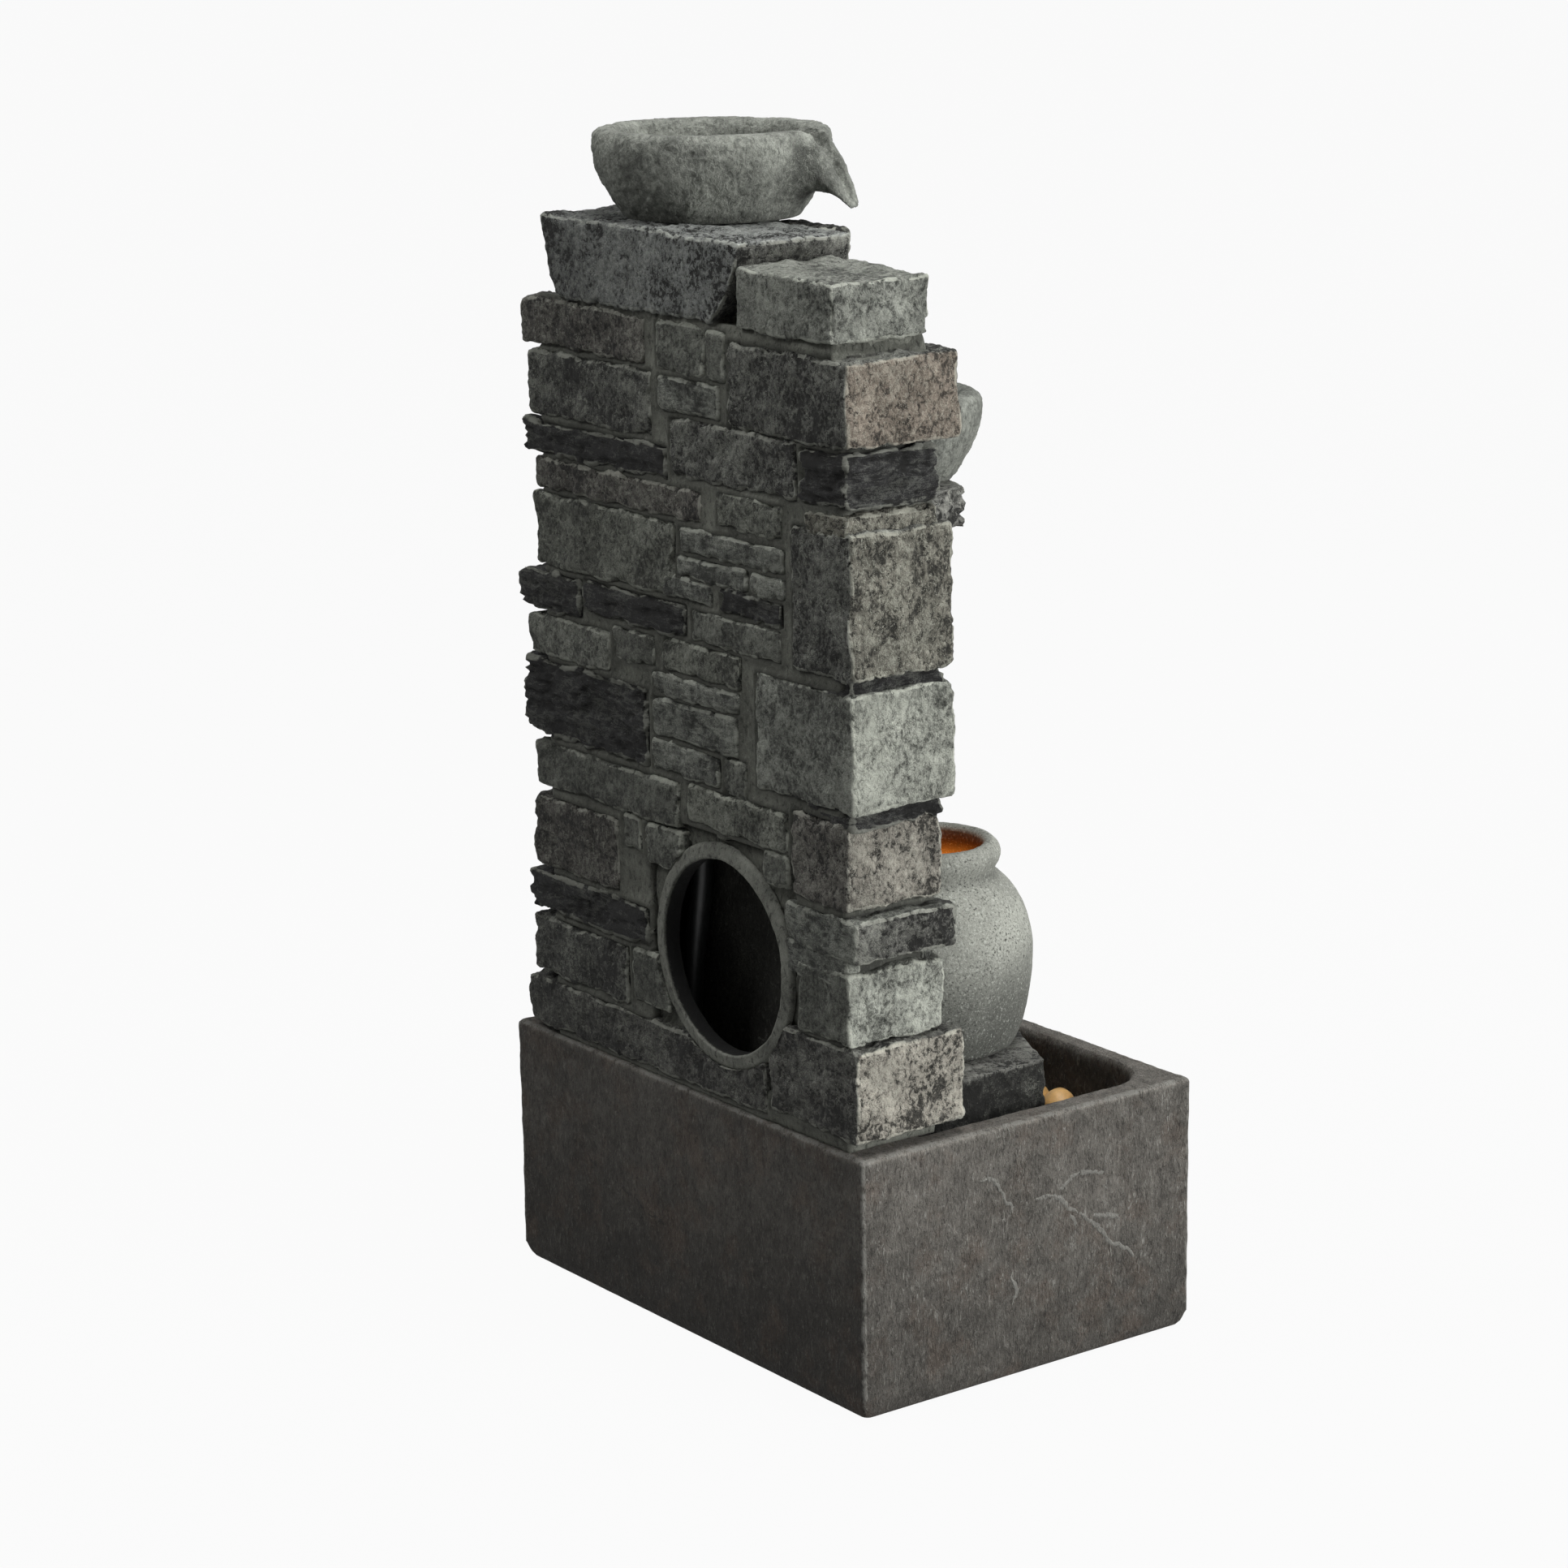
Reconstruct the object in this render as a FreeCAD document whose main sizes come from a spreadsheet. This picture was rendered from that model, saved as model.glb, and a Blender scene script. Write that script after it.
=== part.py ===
import FreeCAD, Part
import math
import os

import Sketcher
from FreeCAD import Placement, Rotation, Vector

# Garden wall fountain: a basin, a hollow stacked-stone tower, three pouring bowls, a lit pot and a pump.
# Millimetres. +Z is up, the pouring side faces -Y, the service hole faces +Y.
# The origin is the bottom centre of the basin.

os.makedirs("parts", exist_ok=True)
doc = FreeCAD.newDocument("wall_fountain")

SIZES = {
    # basin casting
    "base_width": 418, "base_depth": 292, "base_height": 186, "base_corner": 8,
    "rim_side": 21, "rim_front": 18, "back_wall": 12, "pool_corner": 38,
    "shelf_top": 133, "shelf_thickness": 10, "hollow_wall": 11, "sump_floor": 12,
    "sump_depth": 52, "partition_thickness": 12,
    "passage_width": 60, "passage_height": 24, "passage_right": 95, "passage_left": -80,
    # tower casting
    "wall_left": 192, "wall_right": 158, "wall_depth": 68, "wall_inset": 6, "wall_top": 727,
    "wall_skin": 9, "stone_proud": 5,
    "hole_x": -54, "hole_z": 291, "hole_radius": 68.5, "ring_width": 9.5, "ring_proud": 6,
    "bed_height": 5, "bed_inset": 8,
    # loose stones on top, ledges and plinth
    "step_left": -182, "step_right": -91, "step_depth": 76, "step_inset": 2, "step_height": 40,
    "cap_left": -88, "cap_right": 143, "cap_depth": 96, "cap_height": 55,
    "cap_taper": 18, "cap_lip": 26, "cap_lip_reach": 40,
    "ledge_thickness": 28, "tenon_width": 90, "tenon_inset": 4, "bond_gap": 0.3,
    "plinth_rise": 22, "plinth_wall": 9, "plinth_setback": 19, "plinth_apron": 44,
    # bowls
    "bowl_radius": 82.5, "bowl_height": 58, "bowl_foot": 57, "bowl_rim": 20, "bowl_floor": 16,
    "spout_reach": 113, "spout_drop": 57, "spout_half": 29, "spout_wall": 8,
    "top_bowl_x": 57, "bowl_setback": 0.5, "top_heading": 205,
    "middle_bowl_x": -8, "middle_bowl_out": 88, "middle_bowl_z": 598, "middle_heading": -20,
    "lower_bowl_x": 66, "lower_bowl_out": 98, "lower_bowl_z": 422, "lower_heading": 174,
    # pot
    "pot_x": -75, "pot_out": 86, "pot_height": 150, "pot_foot": 63, "pot_belly": 78, "pot_neck": 51,
    "pot_lip": 55, "pot_mouth": 42, "pot_wall": 9, "pot_hole": 6, "pot_hole_offset": 32,
    # pump
    "pump_x": 41, "cup_height": 6, "cup_radius": 6.5, "cup_stem": 2.5,
    "pump_side": 40, "pump_wall": 2.5, "pump_length": 51, "well_radius": 9, "well_length": 29,
    "well_wall": 2, "magnet_radius": 8.4, "magnet_length": 24, "shaft_radius": 1.5, "spin_gap": 0.05,
    "bush_length": 3, "volute_radius": 18, "volute_wall": 2, "volute_length": 14,
    "impeller_radius": 14, "vane_thickness": 1.6, "vane_count": 6, "intake_radius": 9,
    "front_bush": 3.5, "nozzle_radius": 6, "nozzle_bore": 4.5, "nozzle_length": 22,
    "core_thickness": 4, "core_width": 18, "yoke_thickness": 6, "coil_build": 4,
    "cover_wall": 1.6, "cover_gap": 0.4, "cover_reach": 25, "cover_overlap": 8,
    "slot_width": 2.6, "slot_pitch": 6, "slot_count": 5,
    "dial_radius": 12, "dial_thickness": 2.4, "dial_gap": 0.3, "dial_stem": 3, "stem_gap": 0.1,
    "port_radius": 2.6, "port_circle": 7.5, "gland_radius": 4.5, "gland_length": 10, "cord_bore": 2.2,
    # hose and bowl inlet
    "hose_radius": 8, "hose_bore": 6, "clamp_width": 7, "clamp_wall": 1.4, "clip_height": 9,
    "clip_wall": 2.4, "clip_gap": 0.5, "inlet_offset": 33, "inlet_stem": 8, "inlet_flange": 13,
    "flange_thickness": 3, "gasket_thickness": 1.5, "nut_radius": 13, "nut_height": 8,
    "cap_bore": 17, "barb_length": 26, "inlet_bore": 4.5,
    # light in the pot
    "lamp_radius": 18, "lamp_height": 13, "lamp_wall": 2, "board_thickness": 1.6, "diode_side": 3.4,
    "diode_height": 1.4, "diode_circle": 8, "lens_thickness": 3, "bezel_thickness": 2,
    "lamp_gland": 3.2, "lamp_gland_length": 7,
}

sheet = doc.addObject("Spreadsheet::Sheet", "Sizes")
for row, (alias, value) in enumerate(SIZES.items(), start=1):
    sheet.set(f"A{row}", alias)
    sheet.set(f"B{row}", str(value))
    sheet.setAlias(f"B{row}", alias)
doc.recompute()


class Amount:
    """A length that knows both its value now and the sheet formula that gives it."""

    def __init__(self, value, text):
        self.value = value
        self.text = text

    def __float__(self):
        return self.value

    def __add__(self, other):
        other = amount(other)
        return Amount(self.value + other.value, f"({self.text} + {other.text})")

    def __sub__(self, other):
        other = amount(other)
        return Amount(self.value - other.value, f"({self.text} - {other.text})")

    def __mul__(self, other):
        other = amount(other)
        return Amount(self.value * other.value, f"({self.text} * {other.text})")

    def __truediv__(self, other):
        other = amount(other)
        return Amount(self.value / other.value, f"({self.text} / {other.text})")

    def __radd__(self, other):
        return amount(other) + self

    def __rsub__(self, other):
        return amount(other) - self

    def __rmul__(self, other):
        return amount(other) * self

    def __neg__(self):
        return amount(0) - self


def amount(thing):
    """Any number as an Amount."""
    if isinstance(thing, Amount):
        return thing
    return Amount(float(thing), str(float(thing)))


class Sheet:
    """The sheet's cells by name, each as an Amount."""


s = Sheet()
for alias in SIZES:
    setattr(s, alias, Amount(float(sheet.get(alias)), f"Sizes.{alias}"))

nodes = []


def put(thing, prop, value):
    """Bind one property to a sheet formula."""
    thing.setExpression(prop, amount(value).text)


def keep(thing, label):
    """Name a finished piece, which then has a file of its own."""
    thing.Label = label
    nodes.append(thing)
    return thing


def place(thing, corner):
    """Bind a primitive's position to three formulas."""
    for axis, value in zip("xyz", corner):
        put(thing, f"Placement.Base.{axis}", value)
    return thing


def box(name, corner, span):
    """A block from its lowest corner and its three lengths."""
    thing = doc.addObject("Part::Box", name)
    for prop, value in zip(("Length", "Width", "Height"), span):
        put(thing, prop, value)
    return place(thing, corner)


TURN = {"X": Rotation(Vector(0, 1, 0), 90), "Y": Rotation(Vector(1, 0, 0), -90), "Z": Rotation()}


def rod(name, start, radius, length, axis="Z"):
    """A cylinder from the centre of its first face, along X, Y or Z."""
    thing = doc.addObject("Part::Cylinder", name)
    thing.Placement = Placement(Vector(), TURN[axis])
    put(thing, "Radius", radius)
    put(thing, "Height", length)
    return place(thing, start)


def cone(name, start, radius_a, radius_b, length, axis="Z"):
    """A cone from the centre of its first face."""
    thing = doc.addObject("Part::Cone", name)
    thing.Placement = Placement(Vector(), TURN[axis])
    put(thing, "Radius1", radius_a)
    put(thing, "Radius2", radius_b)
    put(thing, "Height", length)
    return place(thing, start)


def cut(name, base, tool):
    """The base without the tool."""
    thing = doc.addObject("Part::Cut", name)
    thing.Base = base
    thing.Tool = tool
    return thing


def join(name, pieces):
    """One solid from several, or one tool from several."""
    thing = doc.addObject("Part::MultiFuse", name)
    thing.Shapes = pieces
    return thing


def group(name, pieces):
    """Separate solids that share a node."""
    thing = doc.addObject("Part::Compound", name)
    thing.Links = pieces
    return thing


def feature(label, shape):
    """A free-form piece whose shape is worked out here."""
    thing = doc.addObject("Part::Feature", label)
    thing.Shape = shape
    return keep(thing, label)


def ring(name, start, outer, inner, length, axis="Z"):
    """A round sleeve."""
    return cut(name, rod(name + "_outer", start, outer, length, axis),
               rod(name + "_inner", start, inner, length, axis))


def body(name):
    return doc.addObject("PartDesign::Body", name)


def sketch_on(owner, name, role, offset=0, middle=(0, 0)):
    """A sketch on one of the body's own planes, lifted along its normal, with its origin at middle."""
    drawing = owner.newObject("Sketcher::SketchObject", name)
    plane = [item for item in owner.Origin.OriginFeatures if item.Role == role][0]
    drawing.AttachmentSupport = [(plane, "")]
    drawing.MapMode = "FlatFace"
    put(drawing, "AttachmentOffset.Base.x", middle[0])
    put(drawing, "AttachmentOffset.Base.y", middle[1])
    put(drawing, "AttachmentOffset.Base.z", offset)
    return drawing


def pin_point(drawing, geometry, point, x, y):
    """Tie one point of the drawing to two formulas."""
    for kind, value in (("DistanceX", amount(x)), ("DistanceY", amount(y))):
        index = drawing.addConstraint(
            Sketcher.Constraint(kind, -1, 1, geometry, point, value.value))
        drawing.setExpression(f"Constraints[{index}]", value.text)


def draw_rectangle(drawing, x0, y0, x1, y1):
    """A closed rectangle between two corners."""
    x0, y0, x1, y1 = amount(x0), amount(y0), amount(x1), amount(y1)
    corners = [(x0, y0), (x1, y0), (x1, y1), (x0, y1)]
    flat = [Vector(x.value, y.value, 0) for x, y in corners]
    lines = [drawing.addGeometry(Part.LineSegment(flat[i], flat[(i + 1) % 4]), False) for i in range(4)]
    for i in range(4):
        drawing.addConstraint(Sketcher.Constraint("Coincident", lines[i], 2, lines[(i + 1) % 4], 1))
        kind = "Horizontal" if i % 2 == 0 else "Vertical"
        drawing.addConstraint(Sketcher.Constraint(kind, lines[i]))
    pin_point(drawing, lines[0], 1, x0, y0)
    pin_point(drawing, lines[2], 1, x1, y1)


def draw_circle(drawing, x, y, radius):
    """A circle by its centre and radius."""
    x, y, radius = amount(x), amount(y), amount(radius)
    index = drawing.addGeometry(Part.Circle(Vector(x.value, y.value, 0), Vector(0, 0, 1), radius.value), False)
    pin_point(drawing, index, 3, x, y)
    size = drawing.addConstraint(Sketcher.Constraint("Radius", index, radius.value))
    drawing.setExpression(f"Constraints[{size}]", radius.text)


def pad(owner, drawing, length, name):
    """Raise a drawing along its normal."""
    raised = owner.newObject("PartDesign::Pad", name)
    raised.Profile = drawing
    put(raised, "Length", length)
    return raised


def pocket(owner, drawing, length, name, along_normal=False):
    """Sink a drawing into the solid."""
    sunk = owner.newObject("PartDesign::Pocket", name)
    sunk.Profile = drawing
    sunk.Reversed = along_normal
    put(sunk, "Length", length)
    return sunk


def round_edges(owner, base, radius, name, chosen):
    """Fillet the edges of a feature that a test picks out."""
    doc.recompute()
    names = [f"Edge{i}" for i, edge in enumerate(base.Shape.Edges, start=1) if chosen(edge)]
    fillet = owner.newObject("PartDesign::Fillet", name)
    fillet.Base = (base, names)
    put(fillet, "Radius", radius)
    return fillet


def upright_at(edge, places):
    """Whether an edge is vertical and stands at one of these points in plan."""
    a, b = edge.Vertexes[0].Point, edge.Vertexes[-1].Point
    level = abs(a.x - b.x) + abs(a.y - b.y)
    return level < 0.01 and any(abs(a.x - x) + abs(a.y - y) < 0.01 for x, y in places)


def prism(points, z0, z1):
    """A solid with a polygon plan between two heights."""
    loop = [Vector(x, y, z0) for x, y in points]
    return Part.Face(Part.makePolygon(loop + loop[:1])).extrude(Vector(0, 0, z1 - z0))


def slab(x0, x1, y0, y1, z0, z1):
    """A plain block between two corners."""
    return Part.makeBox(x1 - x0, y1 - y0, z1 - z0, Vector(x0, y0, z0))


# Basin: one casting with a raised shelf in front, a deep sump behind a partition, and a hollow underside.

sump_back = s.base_depth / 2 - s.back_wall
sump_front = sump_back - s.sump_depth
pool_back = sump_front - s.partition_thickness
pool_front = s.rim_front - s.base_depth / 2
pool_side = s.base_width / 2 - s.rim_side
wall_back = s.base_depth / 2 - s.wall_inset
wall_front = wall_back - s.wall_depth
sump_left = s.wall_skin - s.wall_left
sump_right = s.wall_right - s.wall_skin

# Places that follow the back of the basin, the front of the wall or the rim.
step_back = wall_back + s.ring_proud - s.step_inset
step_front = step_back - s.step_depth
cap_back = wall_back + s.ring_proud
cap_front = cap_back - s.cap_depth
top_bowl_y = cap_back - s.bowl_radius - s.bowl_setback
inlet_y = top_bowl_y + s.inlet_offset
middle_bowl_y = wall_front - s.middle_bowl_out
lower_bowl_y = wall_front - s.lower_bowl_out
pot_y = wall_front - s.pot_out
plinth_top = s.base_height + s.plinth_rise
pump_y = sump_back - s.sump_depth / 2

basin = body("basin_body")
outline = sketch_on(basin, "basin_outline", "XY_Plane")
draw_rectangle(outline, -s.base_width / 2, -s.base_depth / 2, s.base_width / 2, s.base_depth / 2)
basin_block = pad(basin, outline, s.base_height, "basin_block")
pool = sketch_on(basin, "pool_outline", "XY_Plane", s.base_height)
draw_rectangle(pool, -pool_side, pool_front, pool_side, sump_front)
pool_cut = pocket(basin, pool, s.base_height - s.shelf_top, "pool_cut")
sump = sketch_on(basin, "sump_outline", "XY_Plane", s.base_height)
draw_rectangle(sump, sump_left, sump_front, sump_right, sump_back)
sump_cut = pocket(basin, sump, s.base_height - s.sump_floor, "sump_cut")
under = sketch_on(basin, "underside_outline", "XY_Plane")
draw_rectangle(under, s.hollow_wall - s.base_width / 2, s.hollow_wall - s.base_depth / 2,
               s.base_width / 2 - s.hollow_wall, pool_back)
under_cut = pocket(basin, under, s.shelf_top - s.shelf_thickness, "underside_cut", True)
outer_corners = [(float(s.base_width) / 2 * i, float(s.base_depth) / 2 * j) for i in (-1, 1) for j in (-1, 1)]
outer_round = round_edges(basin, under_cut, s.base_corner, "outer_round",
                          lambda edge: upright_at(edge, outer_corners))
pool_corners = [(float(pool_side) * i, float(pool_front)) for i in (-1, 1)]
round_edges(basin, outer_round, s.pool_corner, "pool_round", lambda edge: upright_at(edge, pool_corners))
keep(basin, "basin")

# The plate between pool and sump is bonded in, with two passages at its foot for the returning water.
divider = body("divider_body")
plate = sketch_on(divider, "divider_outline", "XZ_Plane", -sump_front)
draw_rectangle(plate, -pool_side, s.shelf_top, pool_side, s.base_height)
divider_plate = pad(divider, plate, s.partition_thickness, "divider_plate")
passages = sketch_on(divider, "passage_outline", "XZ_Plane", -sump_front)
for passage_x in (s.passage_right, s.passage_left):
    draw_rectangle(passages, passage_x - s.passage_width / 2, s.shelf_top,
                   passage_x + s.passage_width / 2, s.shelf_top + s.passage_height)
pocket(divider, passages, s.partition_thickness, "passage_cut", True)
keep(divider, "sump_divider")

# Tower: a hollow casting with every stone standing a little proud of the mortar.
# Each stone runs through the wall, so it shows on both faces. It is given on a wall drawn 350 wide
# and 541 high: x from, x to, z from, z to, and how far forward the stone's front face stands.

DRAWN_LEFT, DRAWN_RIGHT, DRAWN_FOOT, DRAWN_TOP = -192.0, 158.0, 186.0, 727.0
QUOIN = 58.0
STONES = [
    (28, 174, 692, 724, 6), (-41, 14, 690, 722, 5), (-65, -45, 689, 722, 4), (-199, -69, 664, 720, 17),
    (20, 168, 643, 687, 7), (-58, 13, 663, 685, 5), (6, 176, 616, 637, 5), (-140, 0, 621, 658, 5),
    (-198, -150, 617, 658, 1), (-35, 163, 591, 613, 5), (-125, -54, 592, 614, 5),
    (0, 163, 535, 586, 7), (-124, -9, 569, 585, 4), (-84, -6, 552, 565, 5), (-123, -92, 553, 565, 4),
    (-199, -137, 507, 607, 9), (112, 185, 501, 530, 6), (-12, 108, 509, 531, 5), (-46, 7, 537, 549, 6),
    (-123, -58, 534, 549, 4), (80, 176, 471, 497, 5), (23, 74, 483, 503, 4), (-122, -24, 509, 530, 6),
    (-75, 10, 484, 505, 5), (35, 182, 412, 463, 6), (-73, 25, 466, 478, 5), (-70, 26, 436, 463, 6),
    (-48, 27, 411, 432, 5), (-82, -55, 408, 434, 4), (-200, -94, 422, 501, 9), (0, 171, 373, 404, 5),
    (-126, -16, 381, 410, 5), (75, 175, 313, 361, 6), (45, 68, 346, 373, 4), (-5, 37, 341, 373, 5),
    (-193, -135, 357, 409, 1), (-126, -101, 357, 381, 3), (40, 183, 280, 304, 5),
    (-194, -125, 317, 346, 8), (67, 182, 232, 266, 5), (14, 59, 235, 273, 4),
    (-191, -140, 263, 306, 3), (-15, 189, 194, 224, 5), (-199, -72, 198, 251, 18),
]

tower_span = float(s.wall_left + s.wall_right) / (DRAWN_RIGHT - DRAWN_LEFT)
tower_rise = float(s.wall_top - s.base_height) / (DRAWN_TOP - DRAWN_FOOT)


def across(x):
    """A drawn x on the real wall."""
    return (x - DRAWN_LEFT) * tower_span - float(s.wall_left)


def up(z):
    """A drawn z on the real wall."""
    return (z - DRAWN_FOOT) * tower_rise + float(s.base_height)


def tower_shape():
    left, right = -float(s.wall_left), float(s.wall_right)
    front, back = float(wall_front), float(wall_back)
    foot, top, skin = float(s.base_height), float(s.wall_top), float(s.wall_skin)
    bed_top = top + float(s.bed_height)
    inset = float(s.bed_inset)
    shape = slab(left, right, front, back, foot, top)
    pieces = []
    for x0, x1, z0, z1, proud in STONES:
        near = min(x1, x0 + QUOIN) if x0 < DRAWN_LEFT + 3 else x1
        pieces.append(slab(across(x0), across(near), front - proud, back + float(s.stone_proud), up(z0), up(z1)))
        if near < x1:
            plain = min(proud, float(s.stone_proud))
            pieces.append(slab(across(x0), across(x1), front - plain, back + float(s.stone_proud), up(z0), up(z1)))
    pieces.append(slab(float(s.step_left) + inset, float(s.step_right) - inset, front + inset,
                       back - inset, top - 1, bed_top))
    pieces.append(slab(float(s.cap_left + s.cap_taper) + inset, float(s.cap_right - s.cap_taper) - inset,
                       front + inset, back - inset, top - 1, bed_top))
    hole = Vector(float(s.hole_x), back - skin, float(s.hole_z))
    ring_depth = skin + float(s.ring_proud)
    pieces.append(Part.makeCylinder(float(s.hole_radius + s.ring_width), ring_depth, hole, Vector(0, 1, 0)))
    shape = shape.multiFuse(pieces)
    voids = [slab(left + skin, right - skin, front + skin, back - skin, foot - 1, top - skin)]
    through = Vector(float(s.hole_x), back - 2 * skin, float(s.hole_z))
    voids.append(Part.makeCylinder(float(s.hole_radius), 3 * skin + ring_depth, through, Vector(0, 1, 0)))
    voids.append(Part.makeCylinder(float(s.cap_bore), float(s.bed_height) + 2 * skin,
                                   Vector(float(s.top_bowl_x), float(inlet_y), top - skin - 1)))
    for x, z in ((s.middle_bowl_x, s.middle_bowl_z), (s.lower_bowl_x, s.lower_bowl_z)):
        gap = float(s.bond_gap)
        half = float(s.tenon_width) / 2 + gap
        low = float(z - s.ledge_thickness + s.tenon_inset) - gap
        high = float(z - s.tenon_inset) + gap
        voids.append(slab(float(x) - half, float(x) + half, 0, front + skin + 1, low, high))
    return shape.cut(voids).removeSplitter()


feature("tower_shell", tower_shape())

# Loose stones bonded on top: the low step stone and the long cap stone that carries the top bowl.

bed_top = s.wall_top + s.bed_height
keep(box("step_block", (s.step_left, step_front, bed_top),
         (s.step_right - s.step_left, step_back - step_front, s.step_height)), "step_stone")


def cap_shape():
    """A long stone that narrows downwards, with a rough lip in front under the bowl."""
    left, right = float(s.cap_left), float(s.cap_right)
    front, back = float(cap_front), float(cap_back)
    foot = float(bed_top)
    top = foot + float(s.cap_height)
    taper = float(s.cap_taper)
    mid = foot + float(s.cap_height) / 2
    side = [(left + taper, foot), (right - taper, foot), (right - taper / 4, mid), (right, top - 4),
            (right - 6, top), (left + 4, top), (left, top - 5)]
    loop = [Vector(x, front, z) for x, z in side]
    block = Part.Face(Part.makePolygon(loop + loop[:1])).extrude(Vector(0, back - front, 0))
    reach = float(s.cap_lip_reach)
    width = right - left
    lip = prism([(left + 0.22 * width, front + 1), (left + 0.38 * width, front - 0.5 * reach),
                 (left + 0.53 * width, front - reach), (right - 9, front - reach), (right - 3, front + 1)],
                top - float(s.cap_lip), top)
    bore = Part.makeCylinder(float(s.cap_bore), float(s.cap_height) + 2,
                             Vector(float(s.top_bowl_x), float(inlet_y), foot - 1))
    return block.fuse(lip).cut(bore).removeSplitter()


feature("cap_stone", cap_shape())


def ledge_shape(x, y, z):
    """A rough rock shelf under a bowl, with a tenon bonded into the wall."""
    x, y, top = float(x), float(y), float(z)
    foot = top - float(s.ledge_thickness)
    back = float(ledge_front_plane)
    reach = float(s.bowl_foot)
    plan = [(x - reach - 50, back), (x - reach - 44, back - 24), (x - reach - 34, y + 6), (x - reach - 22, y - 24),
            (x - 0.4 * reach, y - 0.72 * reach), (x + 0.6 * reach, y - 0.66 * reach),
            (x + reach + 10, y), (x + reach + 16, back)]
    shelf = prism(plan, foot, top)
    inset = float(s.tenon_inset)
    half = float(s.tenon_width) / 2
    inner = float(wall_front + s.wall_skin)
    tenon = slab(x - half, x + half, back - 1, inner, foot + inset, top - inset)
    return shelf.fuse(tenon).removeSplitter()


ledge_front_plane = wall_front - max(stone[4] for stone in STONES if stone[0] > DRAWN_LEFT + 3) - s.bond_gap
feature("middle_ledge", ledge_shape(s.middle_bowl_x, middle_bowl_y, s.middle_bowl_z))
feature("lower_ledge", ledge_shape(s.lower_bowl_x, lower_bowl_y, s.lower_bowl_z))


# Bowls: a turned body with a broad flat rim and a drooping beak with a channel.

def section(origin, heading, distance, low, high, half):
    """A closed upright section across the spout's heading."""
    along = Vector(math.cos(heading), math.sin(heading), 0)
    side = Vector(-along.y, along.x, 0)
    base = origin + along * distance
    loop = [base - side * half + Vector(0, 0, low), base + side * half + Vector(0, 0, low),
            base + side * half + Vector(0, 0, high), base - side * half + Vector(0, 0, high)]
    return Part.makePolygon(loop + loop[:1])


# The beak from the bowl outwards: share of the reach past the rim, ridge and underside as shares of the
# drop below the rim, half width as a share of the widest, and depth of the channel below the ridge.
BEAK = [(-0.7, 0.02, 0.84, 1.0, 14), (0.0, 0.03, 0.84, 0.93, 14), (0.34, 0.21, 0.84, 0.76, 12),
        (0.66, 0.53, 0.88, 0.52, 10), (0.87, 0.79, 0.93, 0.31, 7), (1.0, 0.97, 1.0, 0.17, 4)]


def bowl_shape(x, y, z, heading, drilled=False):
    origin = Vector(float(x), float(y), float(z))
    turn = math.radians(float(heading))
    radius, tall = float(s.bowl_radius), float(s.bowl_height)
    foot, rim, floor = float(s.bowl_foot), float(s.bowl_rim), float(s.bowl_floor)
    reach, drop = float(s.spout_reach), float(s.spout_drop)
    half, wall = float(s.spout_half), float(s.spout_wall)
    side = Part.BSplineCurve()
    side.interpolate([Vector(foot, 0, 0), Vector(0.5 * (foot + radius), 0, 0.15 * tall),
                      Vector(0.96 * radius, 0, 0.42 * tall), Vector(radius, 0, 0.68 * tall),
                      Vector(radius - 1, 0, tall - 4)])
    inside = Part.BSplineCurve()
    bore = radius - rim
    inside.interpolate([Vector(bore, 0, tall), Vector(0.93 * bore, 0, tall - 0.45 * (tall - floor)),
                        Vector(0.62 * bore, 0, floor + 2), Vector(0, 0, floor)])
    edges = [side.toShape(),
             Part.LineSegment(Vector(radius - 1, 0, tall - 4), Vector(radius - 5, 0, tall)).toShape(),
             Part.LineSegment(Vector(radius - 5, 0, tall), Vector(bore, 0, tall)).toShape(),
             inside.toShape(),
             Part.LineSegment(Vector(0, 0, floor), Vector(0, 0, 0)).toShape(),
             Part.LineSegment(Vector(0, 0, 0), Vector(foot, 0, 0)).toShape()]
    turned = Part.Face(Part.Wire(edges)).revolve(Vector(), Vector(0, 0, 1), 360)
    turned.translate(origin)
    beak_rows = []
    groove_rows = []
    for share, ridge, under, width, depth in BEAK:
        out = radius + share * (reach - radius)
        top = tall - ridge * drop
        beak_rows.append(section(origin, turn, out, tall - under * drop, top, width * half))
        start = out if share > 0 else out - 10
        groove_rows.append(section(origin, turn, start, top - depth, tall + 9, width * (half - wall)))
    groove_rows.append(section(origin, turn, reach + 9, tall - 1.4 * drop, tall + 9, 0.2 * (half - wall)))
    beak = Part.makeLoft(beak_rows, True, True)
    groove = Part.makeLoft(groove_rows, True, True)
    shape = turned.fuse(beak).cut(groove)
    if drilled:
        bore_at = Vector(float(x), float(inlet_y), float(z) - 1)
        shape = shape.cut(Part.makeCylinder(float(s.inlet_stem + s.bond_gap), tall, bore_at))
        recess = Vector(float(x), float(inlet_y), float(z) + floor)
        shape = shape.cut(Part.makeCylinder(float(s.inlet_flange + s.bond_gap), tall, recess))
    return shape.removeSplitter()


cap_top = bed_top + s.cap_height
feature("top_bowl", bowl_shape(s.top_bowl_x, top_bowl_y, cap_top, s.top_heading, True))
feature("middle_bowl", bowl_shape(s.middle_bowl_x, middle_bowl_y, s.middle_bowl_z, s.middle_heading))
feature("lower_bowl", bowl_shape(s.lower_bowl_x, lower_bowl_y, s.lower_bowl_z, s.lower_heading))


# Plinth and pot.

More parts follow.
